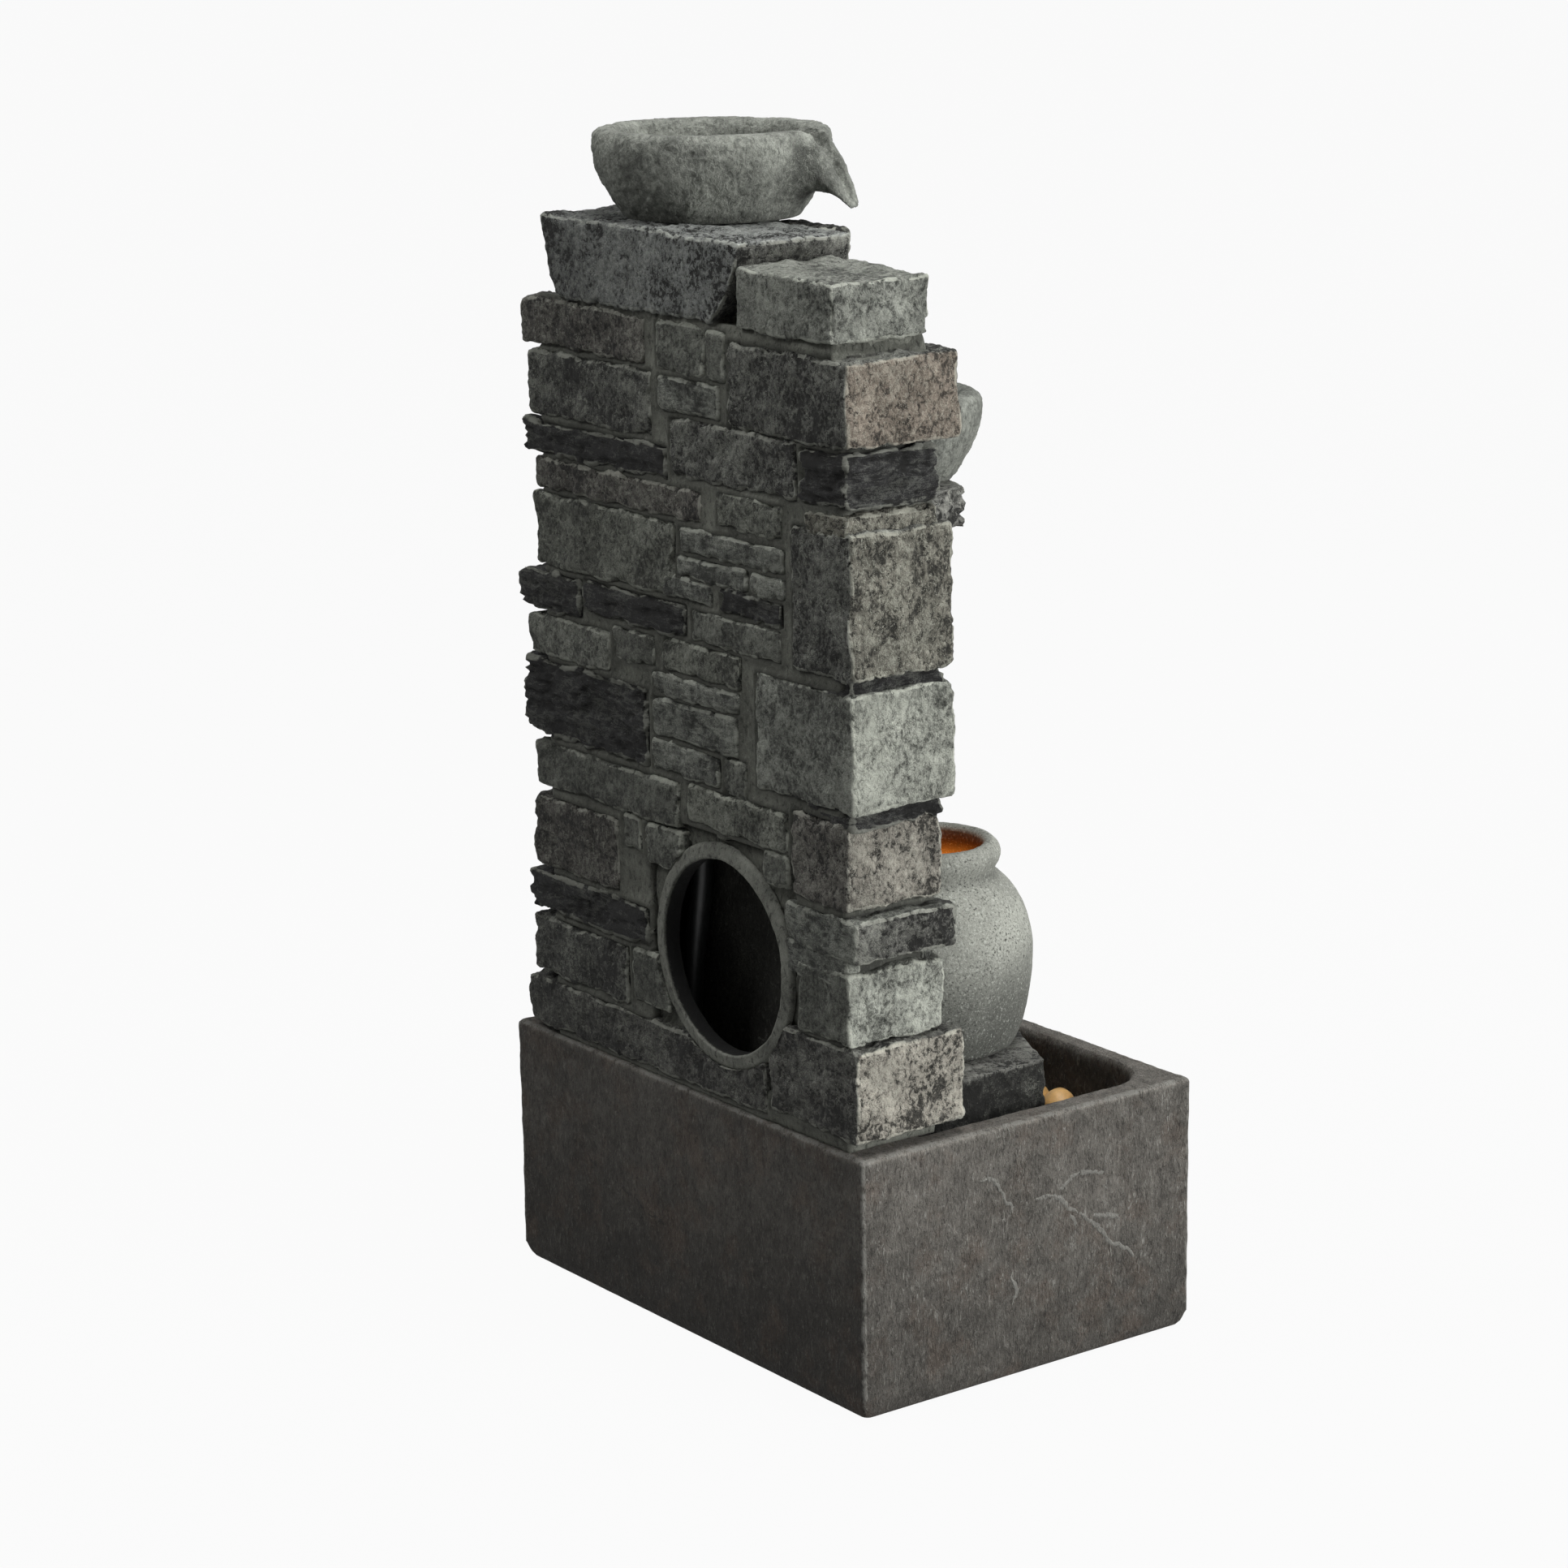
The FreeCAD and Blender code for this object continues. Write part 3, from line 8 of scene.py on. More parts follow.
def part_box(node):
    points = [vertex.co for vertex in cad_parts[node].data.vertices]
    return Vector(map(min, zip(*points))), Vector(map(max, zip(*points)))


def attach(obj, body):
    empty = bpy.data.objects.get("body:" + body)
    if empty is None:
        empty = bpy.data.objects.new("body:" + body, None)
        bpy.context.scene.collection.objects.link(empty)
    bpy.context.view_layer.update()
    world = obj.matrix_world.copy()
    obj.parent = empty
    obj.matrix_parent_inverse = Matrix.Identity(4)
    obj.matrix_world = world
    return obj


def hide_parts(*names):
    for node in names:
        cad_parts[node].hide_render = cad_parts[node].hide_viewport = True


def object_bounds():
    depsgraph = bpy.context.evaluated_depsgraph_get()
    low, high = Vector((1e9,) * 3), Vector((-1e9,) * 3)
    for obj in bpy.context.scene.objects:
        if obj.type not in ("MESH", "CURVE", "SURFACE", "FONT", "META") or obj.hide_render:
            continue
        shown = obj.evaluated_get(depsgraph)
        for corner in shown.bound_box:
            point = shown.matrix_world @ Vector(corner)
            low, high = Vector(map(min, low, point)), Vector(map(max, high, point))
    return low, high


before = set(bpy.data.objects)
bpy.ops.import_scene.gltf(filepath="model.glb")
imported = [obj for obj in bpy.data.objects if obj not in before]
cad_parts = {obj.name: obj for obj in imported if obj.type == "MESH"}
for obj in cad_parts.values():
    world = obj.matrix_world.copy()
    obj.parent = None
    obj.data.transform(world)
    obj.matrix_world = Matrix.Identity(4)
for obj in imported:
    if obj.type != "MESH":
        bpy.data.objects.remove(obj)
cad_low, cad_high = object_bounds()

# All shapes below are worked out in millimetres in the part's own frame and scaled when they become meshes.
MM = 0.001
LOW = np.array(cad_low) / MM
HIGH = np.array(cad_high) / MM
rng = np.random.default_rng(41)
LEAPS = rng.permutation(256)
SLOPES = rng.normal(size=(256, 3))
SLOPES /= np.linalg.norm(SLOPES, axis=1, keepdims=True)


def cad(node):
    """A node's lowest and highest corner in millimetres."""
    low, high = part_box(node)
    return np.array(low) / MM, np.array(high) / MM


# Noise and shaping sums.

def ripple(p):
    """Gradient noise from about -1 to 1: random slopes on a cube lattice, eased together between its corners."""
    cell = np.floor(p).astype(np.int64)
    part = p - cell
    share = part ** 3 * (part * (part * 6 - 15) + 10)
    total = np.zeros(len(p))
    for corner in np.ndindex(2, 2, 2):
        c = (cell + corner) & 255
        mark = LEAPS[(LEAPS[(LEAPS[c[:, 0]] + c[:, 1]) & 255] + c[:, 2]) & 255]
        weight = np.prod(np.where(corner, share, 1 - share), axis=1)
        total += weight * np.einsum("ij,ij->i", SLOPES[mark], part - corner)
    return total * 1.6


def rough(p, size, layers=4, fall=0.5):
    """Ripples of one size and of finer ones, each half as wide and weaker by the fall."""
    total = np.zeros(len(p))
    for k in range(layers):
        total += fall ** k * ripple(p * (2.0 ** k / size) + 19.7 * k)
    return total


def wander(p, size, reach):
    """A slow push in all three directions, for outlines that aren't straight."""
    return reach * np.stack([ripple(p / size + 31.4 * k) for k in range(3)], axis=1)


def ease(low, high, value):
    """0 below low, 1 above high, smooth between."""
    t = np.clip((value - low) / (high - low), 0, 1)
    return t * t * (3 - 2 * t)


def below(value, top, soft=0.5):
    """Values that level off just under a top."""
    return top - soft * np.log1p(np.exp((top - value) / soft))


def travelled(path):
    """Distance from a path's start to each of its points, along the path."""
    return np.concatenate([[0], np.cumsum(np.linalg.norm(np.diff(path, axis=0), axis=1))])


def evenly(path, count, closed=False):
    """Points at even distances along a path, or round it where it is closed."""
    path = np.vstack([path, path[:1]]) if closed else path
    far = travelled(path)
    at = np.linspace(0, far[-1], count, endpoint=not closed)
    return np.stack([np.interp(at, far, path[:, k]) for k in range(path.shape[1])], axis=1)


def curve(knots, count):
    """Points spaced evenly along a smooth curve through the knots (Catmull-Rom between each pair)."""
    knots = np.asarray(knots, float)
    ends = np.vstack([2 * knots[0] - knots[1], knots, 2 * knots[-1] - knots[-2]])
    t = np.linspace(0, 1, 24, endpoint=False)[:, None]
    runs = []
    for a, b, c, d in zip(ends, ends[1:], ends[2:], ends[3:]):
        runs.append(0.5 * (2 * b + (c - a) * t + (2 * a - 5 * b + 4 * c - d) * t ** 2
                           + (3 * b - a - 3 * c + d) * t ** 3))
    return evenly(np.vstack(runs + [knots[-1:]]), count)


def steps(*stops, step):
    """Cut places from the first stop to the last, about a step apart, with every stop among them."""
    runs = [np.linspace(a, b, max(2, round((b - a) / step) + 1))[:-1] for a, b in zip(stops, stops[1:])]
    return np.concatenate(runs + [[stops[-1]]])


# Surfaces: grids of points with their quads, welded where they meet.

def grid(points, flip=False):
    """Quads over rows and columns of points."""
    rows, cols = points.shape[:2]
    at = np.arange(rows * cols).reshape(rows, cols)
    quads = np.stack([at[:-1, :-1], at[:-1, 1:], at[1:, 1:], at[1:, :-1]], axis=-1).reshape(-1, 4)
    return points.reshape(-1, 3), quads[:, ::-1] if flip else quads


def triangles(quads):
    """Two triangles for each quad, without those that have a corner twice."""
    corners = np.concatenate([quads[:, [0, 1, 2]], quads[:, [0, 2, 3]]])
    a, b, c = corners.T
    return corners[(a != b) & (b != c) & (a != c)]


def joined(parts):
    """Several surfaces as one: points, quads with their numbers moved on, and the marks if there are any."""
    points, quads, *marks = zip(*parts)
    start = np.cumsum([0] + [len(p) for p in points[:-1]])
    quads = [q + s for q, s in zip(quads, start)]
    return tuple(np.concatenate(column) for column in (points, quads, *marks))


def weld(parts):
    """One surface from several: corners at the same place become one."""
    points, quads = joined(parts)
    _, first, back = np.unique(np.round(points, 2), axis=0, return_index=True, return_inverse=True)
    return points[first], back.reshape(-1)[quads]


def outward(points, quads):
    """Each corner's outward direction, the mean of the faces round it."""
    a = points[quads]
    push = np.cross(a[:, 2] - a[:, 0], a[:, 3] - a[:, 1])
    total = np.stack([sum(np.bincount(quads[:, k], push[:, c], len(points)) for k in range(4))
                      for c in range(3)], axis=1)
    return total / (np.linalg.norm(total, axis=1, keepdims=True) + 1e-9)


def block(xs, ys, zs, gap=None):
    """The six faces of a block from its cut places. gap = (x0, x1, z0, z1) leaves a window in the +Y face."""
    cuts = (xs, ys, zs)
    parts = []
    for a in range(3):
        b, c = (a + 1) % 3, (a + 2) % 3
        rows, cols = np.meshgrid(cuts[b], cuts[c], indexing="ij")
        for high in (False, True):
            points = np.zeros(rows.shape + (3,))
            points[..., a] = cuts[a][-1 if high else 0]
            points[..., b] = rows
            points[..., c] = cols
            flat, quads = grid(points, flip=not high)
            quads = quads[:, ::-1]
            if gap and a == 1 and high:
                mid = flat[quads].mean(axis=1)
                x, z = mid[:, 0], mid[:, 2]
                quads = quads[~((x > gap[0]) & (x < gap[1]) & (z > gap[2]) & (z < gap[3]))]
            parts.append((flat, quads))
    return weld(parts)


def soften(points, low, high, radius):
    """Rounded edges: each point goes to the radius from its nearest place on a block that much smaller."""
    core = np.clip(points, low + radius, high - radius)
    way = points - core
    way = way / np.linalg.norm(way, axis=1, keepdims=True)
    return core + way * radius, way


def turned(profile, count):
    """A surface of revolution about Z from a profile of radius and height, foot first, closed at the axis."""
    angle = np.linspace(0, 2 * math.pi, count + 1)
    radius, height = profile[:, :1], profile[:, 1:]
    points = np.stack([radius * np.cos(angle), radius * np.sin(angle), height + 0 * angle], axis=-1)
    points[:, -1] = points[:, 0]
    return weld([grid(points)])


def rings(loops):
    """A closed surface through loops of equal numbers of points, with a fan over the first and the last."""
    loops = [np.asarray(loop) for loop in loops]
    middles = [np.repeat(loop.mean(axis=0)[None], len(loop), axis=0) for loop in (loops[0], loops[-1])]
    stack = np.array([middles[0]] + loops + [middles[1]])
    stack = np.concatenate([stack, stack[:, :1]], axis=1)
    return weld([grid(stack)])


def oblong(x0, x1, y0, y1, radius, count):
    """Points evenly round a rectangle whose corners are rounded, from the middle of its right side, anticlockwise."""
    corners = [(x1, y1, 1, 1, 0), (x0, y1, -1, 1, 90), (x0, y0, -1, -1, 180), (x1, y0, 1, -1, 270)]
    path = [np.array([[x1, (y0 + y1) / 2]])]
    for x, y, sx, sy, turn in corners:
        angle = np.radians(np.linspace(turn, turn + 90, 13))
        middle = np.array([x - sx * radius, y - sy * radius])
        path.append(middle + radius * np.stack([np.cos(angle), np.sin(angle)], axis=1))
    return evenly(np.vstack(path), count, closed=True)


def shrunk(loop, share):
    """A flat loop made smaller about its middle."""
    middle = loop.mean(axis=0)
    return middle + (loop - middle) * share


def spun(points, degrees):
    """Points turned about Z."""
    c, s = math.cos(math.radians(degrees)), math.sin(math.radians(degrees))
    return points @ np.array([[c, s, 0], [-s, c, 0], [0, 0, 1]])


def lift(loop, z):
    """A flat loop at a height."""
    return np.column_stack([loop, np.full(len(loop), float(z))])


# Shader maths written as sums.

class Wire:
    """A node's output. Sums and products with it add Math nodes."""

    def __init__(self, web, socket):
        self.web = web
        self.socket = socket

    def __add__(self, other):
        return self.web.maths("ADD", self, other)

    def __sub__(self, other):
        return self.web.maths("SUBTRACT", self, other)

    def __rsub__(self, other):
        return self.web.maths("SUBTRACT", other, self)

    def __mul__(self, other):
        return self.web.maths("MULTIPLY", self, other)

    __radd__ = __add__
    __rmul__ = __mul__


class Web:
    """The nodes of a world or a material, emptied, with a new end node."""

    def __init__(self, owner, end):
        owner.use_nodes = True
        self.tree = owner.node_tree
        self.tree.nodes.clear()
        self.end = self.tree.nodes.new(end)

    def finish(self, wire):
        """Links what the end node shows."""
        self.tree.links.new(wire.socket, self.end.inputs[0])

    def node(self, kind, inputs=None, output=0, **settings):
        """Any node: its settings first, then the values or links of its sockets."""
        made = self.tree.nodes.new(kind)
        for key, value in settings.items():
            setattr(made, key, value)
        for key, value in (inputs or {}).items():
            if isinstance(value, Wire):
                self.tree.links.new(value.socket, made.inputs[key])
            else:
                made.inputs[key].default_value = value
        return Wire(self, made.outputs[output])

    def maths(self, operation, a, b):
        """A Math node."""
        return self.node("ShaderNodeMath", {0: a, 1: b}, operation=operation)

    def seen(self):
        """1 for what the camera sees, straight or by way of a gloss or glass, and 0 for light on other things."""
        straight, gloss, glass = (self.node("ShaderNodeLightPath", output=f"Is {ray} Ray")
                                  for ray in ("Camera", "Glossy", "Transmission"))
        return self.maths("MAXIMUM", straight, self.maths("MAXIMUM", gloss, glass))


class Paint(Web):
    """One material in the making."""

    def __init__(self, name, rough=0.85, **constants):
        self.material = bpy.data.materials.new(name)
        super().__init__(self.material, "ShaderNodeOutputMaterial")
        self.shader = self.tree.nodes.new("ShaderNodeBsdfPrincipled")
        self.surface = Wire(self, self.shader.outputs[0])
        self.finish(self.surface)
        self.shader.inputs["Roughness"].default_value = rough
        for key, value in constants.items():
            self.shader.inputs[key.replace("_", " ")].default_value = value
        self.place = self.node("ShaderNodeTexCoord", output="Object")

    def limit(self, low, high, value):
        """0 below low, 1 above high, smooth between."""
        return self.node("ShaderNodeMapRange", {0: value, 1: low, 2: high}, interpolation_type="SMOOTHSTEP")

    def noise(self, scale, detail, roughness, distortion=0.0, stretch=None):
        """Noise at so many waves a metre, stretched along the axes if asked."""
        place = self.place
        if stretch:
            place = self.node("ShaderNodeMapping", {"Vector": place, "Scale": stretch})
        return self.node("ShaderNodeTexNoise", {"Vector": place, "Scale": scale, "Detail": detail,
                                                "Roughness": roughness, "Distortion": distortion})

    def mark(self, name, output="Fac"):
        """An attribute that the mesh carries."""
        return self.node("ShaderNodeAttribute", output=output, attribute_name=name)

    def mix(self, factor, a, b):
        """Two colours mixed."""
        a, b = ((*colour, 1) if isinstance(colour, tuple) else colour for colour in (a, b))
        return self.node("ShaderNodeMix", {0: factor, 6: a, 7: b}, output=2, data_type="RGBA")

    def tone(self, colour, value):
        """A colour made lighter or darker by a value."""
        return self.node("ShaderNodeVectorMath", {0: colour, 3: value}, operation="SCALE")

    def add(self, colour, more):
        """A colour with another added."""
        return self.node("ShaderNodeVectorMath", {0: colour, 1: more}, operation="ADD")

    def wear(self, colour, roughness, height, depth, glow=None):
        """Links the finished colour, roughness, relief and glow."""
        bump = self.node("ShaderNodeBump", {"Strength": 1.0, "Distance": depth, "Height": height})
        wires = {"Base Color": colour, "Roughness": roughness, "Normal": bump, "Emission Color": glow}
        for key, value in wires.items():
            if value is not None:
                self.tree.links.new(value.socket, self.shader.inputs[key])
        return self.material


def cast_stone(name, size=1.0, streak=(1.0, 1.0, 0.85), depth=0.0036, contrast=1.0):
    """Painted cast stone: a dark wash left in the hollows, a pale one brushed over the crests, and painted shade
    where the mesh asks for it. The mesh gives tint, pit and fleck (how much of each wash), leaf (1 where the stone
    splits in layers), edge and dip."""
    paint = Paint(name, rough=0.85, Specular_IOR_Level=0.22)
    leaf = paint.mark("leaf")
    patch = paint.noise(22 * size, 3, 0.55)
    blotch = paint.noise(105 * size, 6, 0.74, 0.5)
    upright = paint.noise(300 * size, 5, 0.66, 0.6, stretch=streak)
    layered = paint.noise(250 * size, 6, 0.70, 1.3, stretch=(0.25, 0.25, 1.0))
    scratch = paint.noise(350 * size, 5, 0.68, 0.8, stretch=(1.0, 1.0, 0.75))
    dust = paint.noise(1500 * size, 2, 0.6)
    crest = upright + leaf * (layered - upright)
    brush = scratch + leaf * (layered - scratch)
    tint = paint.mark("tint", "Color")
    level = 1.3 * (patch - 0.5) + 2.6 * (blotch - 0.5) + 3.2 * (crest - 0.5) + 1.3 * (dust - 0.5)
    colour = paint.tone(tint, paint.maths("MAXIMUM", 1.0 + contrast * level, 0.1))
    low = 0.55 * crest + 0.45 * blotch + 0.35 * (patch - 0.5)
    # The dark wash covers the pits, the hollows that the mesh marks and the painted shade that it marks.
    hollow = paint.maths("MAXIMUM", paint.limit(0.495, 0.44, low) * paint.mark("pit"), paint.mark("dip") * 0.85)
    colour = paint.mix(hollow, colour, (0.013, 0.013, 0.012))
    high = 0.6 * brush + 0.4 * blotch + 0.4 * (dust - 0.5) + 0.3 * (patch - 0.5)
    rim = paint.limit(0.62, 0.92, paint.mark("edge") + 1.1 * (crest - 0.5)) * 0.85
    worn = paint.limit(0.53, 0.575, high) * paint.mark("fleck")
    colour = paint.mix(worn, colour, paint.add(paint.tone(tint, 1.2), (0.160, 0.167, 0.142)))
    colour = paint.mix(rim, colour, paint.add(paint.tone(tint, 1.3), (0.215, 0.222, 0.190)))
    height = 0.75 * crest + 0.2 * dust + 0.9 * blotch
    return paint.wear(colour, 0.74 + 0.2 * dust, height, depth)


# Making a piece.

def marks_for(mesh, marks):
    """Writes numbers and colours kept at the corners of a mesh. One value or one colour goes to every corner."""
    count = len(mesh.vertices)
    for name, values in marks.items():
        values = np.asarray(values, float)
        if values.shape in ((), (3,)):
            values = np.broadcast_to(values, (count, *values.shape))
        if values.ndim == 2:
            values = np.column_stack([values, np.ones(count)])
            layer = mesh.attributes.new(name, "FLOAT_COLOR", "POINT")
            layer.data.foreach_set("color", values.ravel())
        else:
            layer = mesh.attributes.new(name, "FLOAT", "POINT")
            layer.data.foreach_set("value", np.ascontiguousarray(values))


def shown(name, mesh):
    """A new object in the scene for a mesh, a light or a camera."""
    made = bpy.data.objects.new(name, mesh)
    bpy.context.scene.collection.objects.link(made)
    return made


def piece(name, points, quads, finish, slot, node, **marks):
    """A smooth mesh from points and quads in millimetres, kept inside the CAD model's box. It stands for a node."""
    points = np.clip(points, LOW, HIGH)
    corners = triangles(quads)
    mesh = bpy.data.meshes.new(name)
    mesh.vertices.add(len(points))
    mesh.vertices.foreach_set("co", (points * MM).ravel())
    mesh.loops.add(corners.size)
    mesh.loops.foreach_set("vertex_index", corners.ravel())
    mesh.polygons.add(len(corners))
    mesh.polygons.foreach_set("loop_start", np.arange(len(corners)) * 3)
    mesh.polygons.foreach_set("use_smooth", np.ones(len(corners), bool))
    mesh.update(calc_edges=True)
    mesh.validate()
    marks_for(mesh, marks)
    mesh.materials.append(finish)
    made = shown(name, mesh)
    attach(made, "fountain")
    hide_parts(node)


# Stones. Each kind has a tint, its share of dark wash and of pale wash, and how much it splits in layers.

KINDS = {
    "slate": (0.025, 0.025, 0.025, 0.85, 0.34, 1.0),
    "granite": (0.104, 0.106, 0.096, 0.85, 0.80, 0.0),
    "brown": (0.128, 0.122, 0.109, 0.80, 0.75, 0.0),
    "green": (0.150, 0.156, 0.134, 0.45, 0.65, 0.0),
    "pale": (0.265, 0.275, 0.240, 0.25, 0.65, 0.0),
    "dim": (0.200, 0.208, 0.184, 0.30, 0.55, 0.0),
    "plain": (0.150, 0.156, 0.136, 0.25, 0.40, 0.0),
    "grey": (0.140, 0.146, 0.130, 0.50, 0.80, 0.55),
    "blue": (0.205, 0.214, 0.205, 0.95, 0.60, 0.0),
    "tan": (0.152, 0.147, 0.122, 0.65, 0.90, 0.0),
    "pink": (0.185, 0.158, 0.128, 0.55, 0.70, 0.0),
    "beige": (0.225, 0.212, 0.182, 0.75, 0.60, 0.0),
    "chalk": (0.345, 0.358, 0.315, 0.25, 0.65, 0.0),
    "sand": (0.280, 0.264, 0.226, 0.75, 0.60, 0.0),
    "crag": (0.090, 0.090, 0.082, 0.90, 0.70, 0.3),
    "mortar": (0.128, 0.132, 0.113, 0.35, 0.35, 0.0),
}


def relief(p, kind):
    """How far each kind's surface stands in or out, in millimetres."""
    flakes = sum(ease(t - 0.06, t + 0.06, rough(p + 17, 19, 3, 0.6)) for t in (-0.5, -0.15, 0.2, 0.55))
    if kind == "slate":
        leaf = p * [0.15, 0.15, 1.0] + wander(p, 40, 4)
        return 3.4 * (ease(-0.25, 0.3, rough(leaf, 7.5, 3, 0.6)) - 0.5) + 0.9 * rough(p, 6, 3)
    if kind in ("granite", "brown", "blue", "beige", "tan", "crag"):
        upright = p * [1.0, 1.0, 0.6]
        return 1.0 * rough(p, 15, 3, 0.6) + 0.5 * flakes - 1.0 + 0.7 * ripple(upright / 3.6) + 0.4 * ripple(p / 2.2)
    if kind in ("plain", "pale", "dim", "pink"):
        return 1.2 * rough(p, 44, 2, 0.4) + 0.45 * flakes - 0.9 + 0.4 * rough(p, 6, 3)
    return 0.9 * rough(p, 20, 4, 0.58) + 0.4 * flakes - 0.8 + 0.4 * ripple(p / 3.1)


NO_SEAM = 999.0


def stone(low, high, kind, seed, step=1.8, radius=3.5, stray=1.8, warp=None, side=None, back=146.0, seam=NO_SEAM):
    """One rough stone: a block with rounded edges, a wandering outline and its kind's relief. The end that faces
    left can be of another kind, and no edge is worn at the seam where another stone carries this one on. Returns
    points, quads and the marks: tint, pit, fleck, leaf, edge and dip."""
    low, high = np.asarray(low, float), np.asarray(high, float)
    points, quads = block(*(steps(a, b, step=step) for a, b in zip(low, high)))
    limit = min(radius, 0.34 * (high - low).min())
    points, way = soften(points, low, high, limit)
    rim = np.clip(np.sort(np.abs(way), axis=1)[:, 1] * 2.3, 0, 1)
    where = points + seed * np.array([37.7, 11.3, 23.9])
    share = ease(0.45, 0.75, -way[:, 0]) * (side is not None)
    out = relief(where, kind) * (1 - share) + relief(where + 70, side or kind) * share
    rim = rim * (1 - np.exp(-((points[:, 0] - seam) / 7.0) ** 4))
    chip = ease(0.25, 0.6, rough(where + 300, 12, 3)) * rim
    points = points + wander(where, 24, stray) + way * (out + 0.4 - 2.0 * chip)[:, None]
    if warp is not None:
        points = warp(points)
    points[:, 1] = below(points[:, 1], back)
    looks = np.array(KINDS[kind]) * (1 - share[:, None]) + np.array(KINDS[side or kind]) * share[:, None]
    shade = 0.97 + 0.16 * ripple(np.full((1, 3), seed * 1.37))[0]
    # Random cloudy tone, and painted shade: every stone is tinted up to 40% darker towards +X, as if the light fell
    # off there.
    cloudy_and_shaded = (1 + 0.3 * rough(where, 28, 3)) * (1 - 0.40 * ease(-30, 120, points[:, 0]))
    tint = looks[:, :3] * shade * cloudy_and_shaded[:, None]
    edge = rim * (0.84 + 0.6 * rough(where, 9, 2)) + 0.25 * ease(0.3, 1.6, out)
    dip = ease(-1.0, -2.4, out) * 0.6
    return points, quads, np.clip(np.column_stack([tint, looks[:, 3:], edge, dip]), 0.003, 1)


def lay(name, stones, finish, slot, node):
    """Puts several stones into one piece."""
    points, quads, marks = joined(stones)
    piece(name, points, quads, finish, slot, node, tint=marks[:, :3],
          **dict(zip(("pit", "fleck", "leaf", "edge", "dip"), marks[:, 3:].T)))


wall_finish = cast_stone("weathered wall stone")

# The wall: the same stones as the CAD wall. First those that wrap the left corner, given as x from, x to, z from,
# z to, the front, the kind on the back and the kind on the end.

QUOINS = [
    (-200, -68, 660, 716.5, 52.5, "granite", "pink"), (-196, -148, 620.5, 657, 68.5, "slate", "slate"),
    (-201, -137, 509, 605, 59.5, "granite", "tan"), (-202, -94, 420, 500, 60.5, "dim", "pale"),
    (-195, -133, 354, 412, 66.5, "brown", "beige"), (-203, -124, 319.5, 348, 58.5, "grey", "crag"),
    (-195, -138, 261, 310, 64.5, "plain", "chalk"), (-203, -104, 196, 259, 53, "crag", "sand"),
]

# The others, given as x from, x to, z from, z to, how far the front stands forward and the kind.

STONES = [
    (28, 177, 692, 725, 6, "brown"), (-41, 14, 690, 724, 5, "plain"), (-65, -45, 689, 722, 4, "plain"),
    (20, 171, 643, 688, 7, "granite"), (-58, 13, 663, 686, 5, "grey"), (4, 179, 615, 638, 5, "slate"),
    (-142, 0, 620, 659, 5, "granite"), (-35, 165, 590, 612, 5, "brown"), (-126, -54, 592, 615, 5, "green"),
    (-2, 167, 535, 587, 7, "green"), (-127, -9, 568, 586, 4, "grey"), (-86, -6, 551, 566, 5, "grey"),
    (-127, -90, 552, 566, 4, "grey"), (112, 188, 501, 531, 6, "slate"), (-14, 108, 508, 532, 5, "slate"),
    (-46, 9, 536, 550, 6, "grey"), (-125, -56, 533, 550, 4, "slate"), (78, 179, 470, 498, 5, "pale"),
    (23, 74, 481, 504, 4, "plain"), (-124, -22, 508, 531, 6, "plain"), (-77, 12, 483, 506, 5, "green"),
    (34, 185, 411, 465, 6, "slate"), (-75, 26, 465, 480, 5, "grey"), (-72, 27, 435, 462, 6, "grey"),
    (-50, 28, 410, 432, 5, "grey"), (-82, -55, 407, 433, 4, "plain"), (-2, 174, 372, 404, 5, "plain"),
    (-128, -14, 380, 407, 5, "green"), (73, 178, 312, 364, 6, "brown"), (45, 68, 345, 371, 4, "plain"),
    (-5, 39, 340, 370, 5, "plain"), (-128, -101, 356, 378, 3, "plain"), (38, 186, 279, 307, 5, "slate"),
    (-190, -124, 300, 322, 2, "grey"), (65, 184, 231, 273, 5, "granite"), (14, 59, 235, 275, 4, "plain"),
    (-98, 192, 190, 226, 5, "crag"),
]
WALL_LEFT, WALL_RIGHT, WALL_FRONT, WALL_BACK, WALL_FOOT, WALL_TOP = -187.0, 158.0, 69.0, 140.0, 186.0, 726.0
STONE_BACK = 144.7
SKIN = 9.0
HOLE_X, HOLE_Z, HOLE_R = -50.0, 291.0, 68.5


def clear_hole(points, edge=79.0):
    """Pushes what lies over the service hole out to the ring's edge."""
    away = points[:, [0, 2]] - [HOLE_X, HOLE_Z]
    far = np.hypot(*away.T) + 1e-6
    free = np.where((far < edge) & (points[:, 1] > 100), edge - 0.8 + 0.01 * far, far)
    moved = points.copy()
    moved[:, [0, 2]] = [HOLE_X, HOLE_Z] + away * (free / far)[:, None]
    return moved


def facing(x0, x1, z0, z1, kind, seed, seam):
    """A stone let into the back of the wall."""
    return stone((x0, WALL_BACK - 8, z0), (x1, STONE_BACK - 0.4, z1), kind, seed, 1.8, warp=clear_hole,
                 back=145.6, seam=seam)


def front_facing(x0, x1, z0, z1, proud, kind, seed):
    """A stone let into the front of the wall."""
    return stone((x0, 72.5 - proud, z0), (x1, WALL_FRONT + SKIN + 0.5, z1), kind, seed, 2.6)


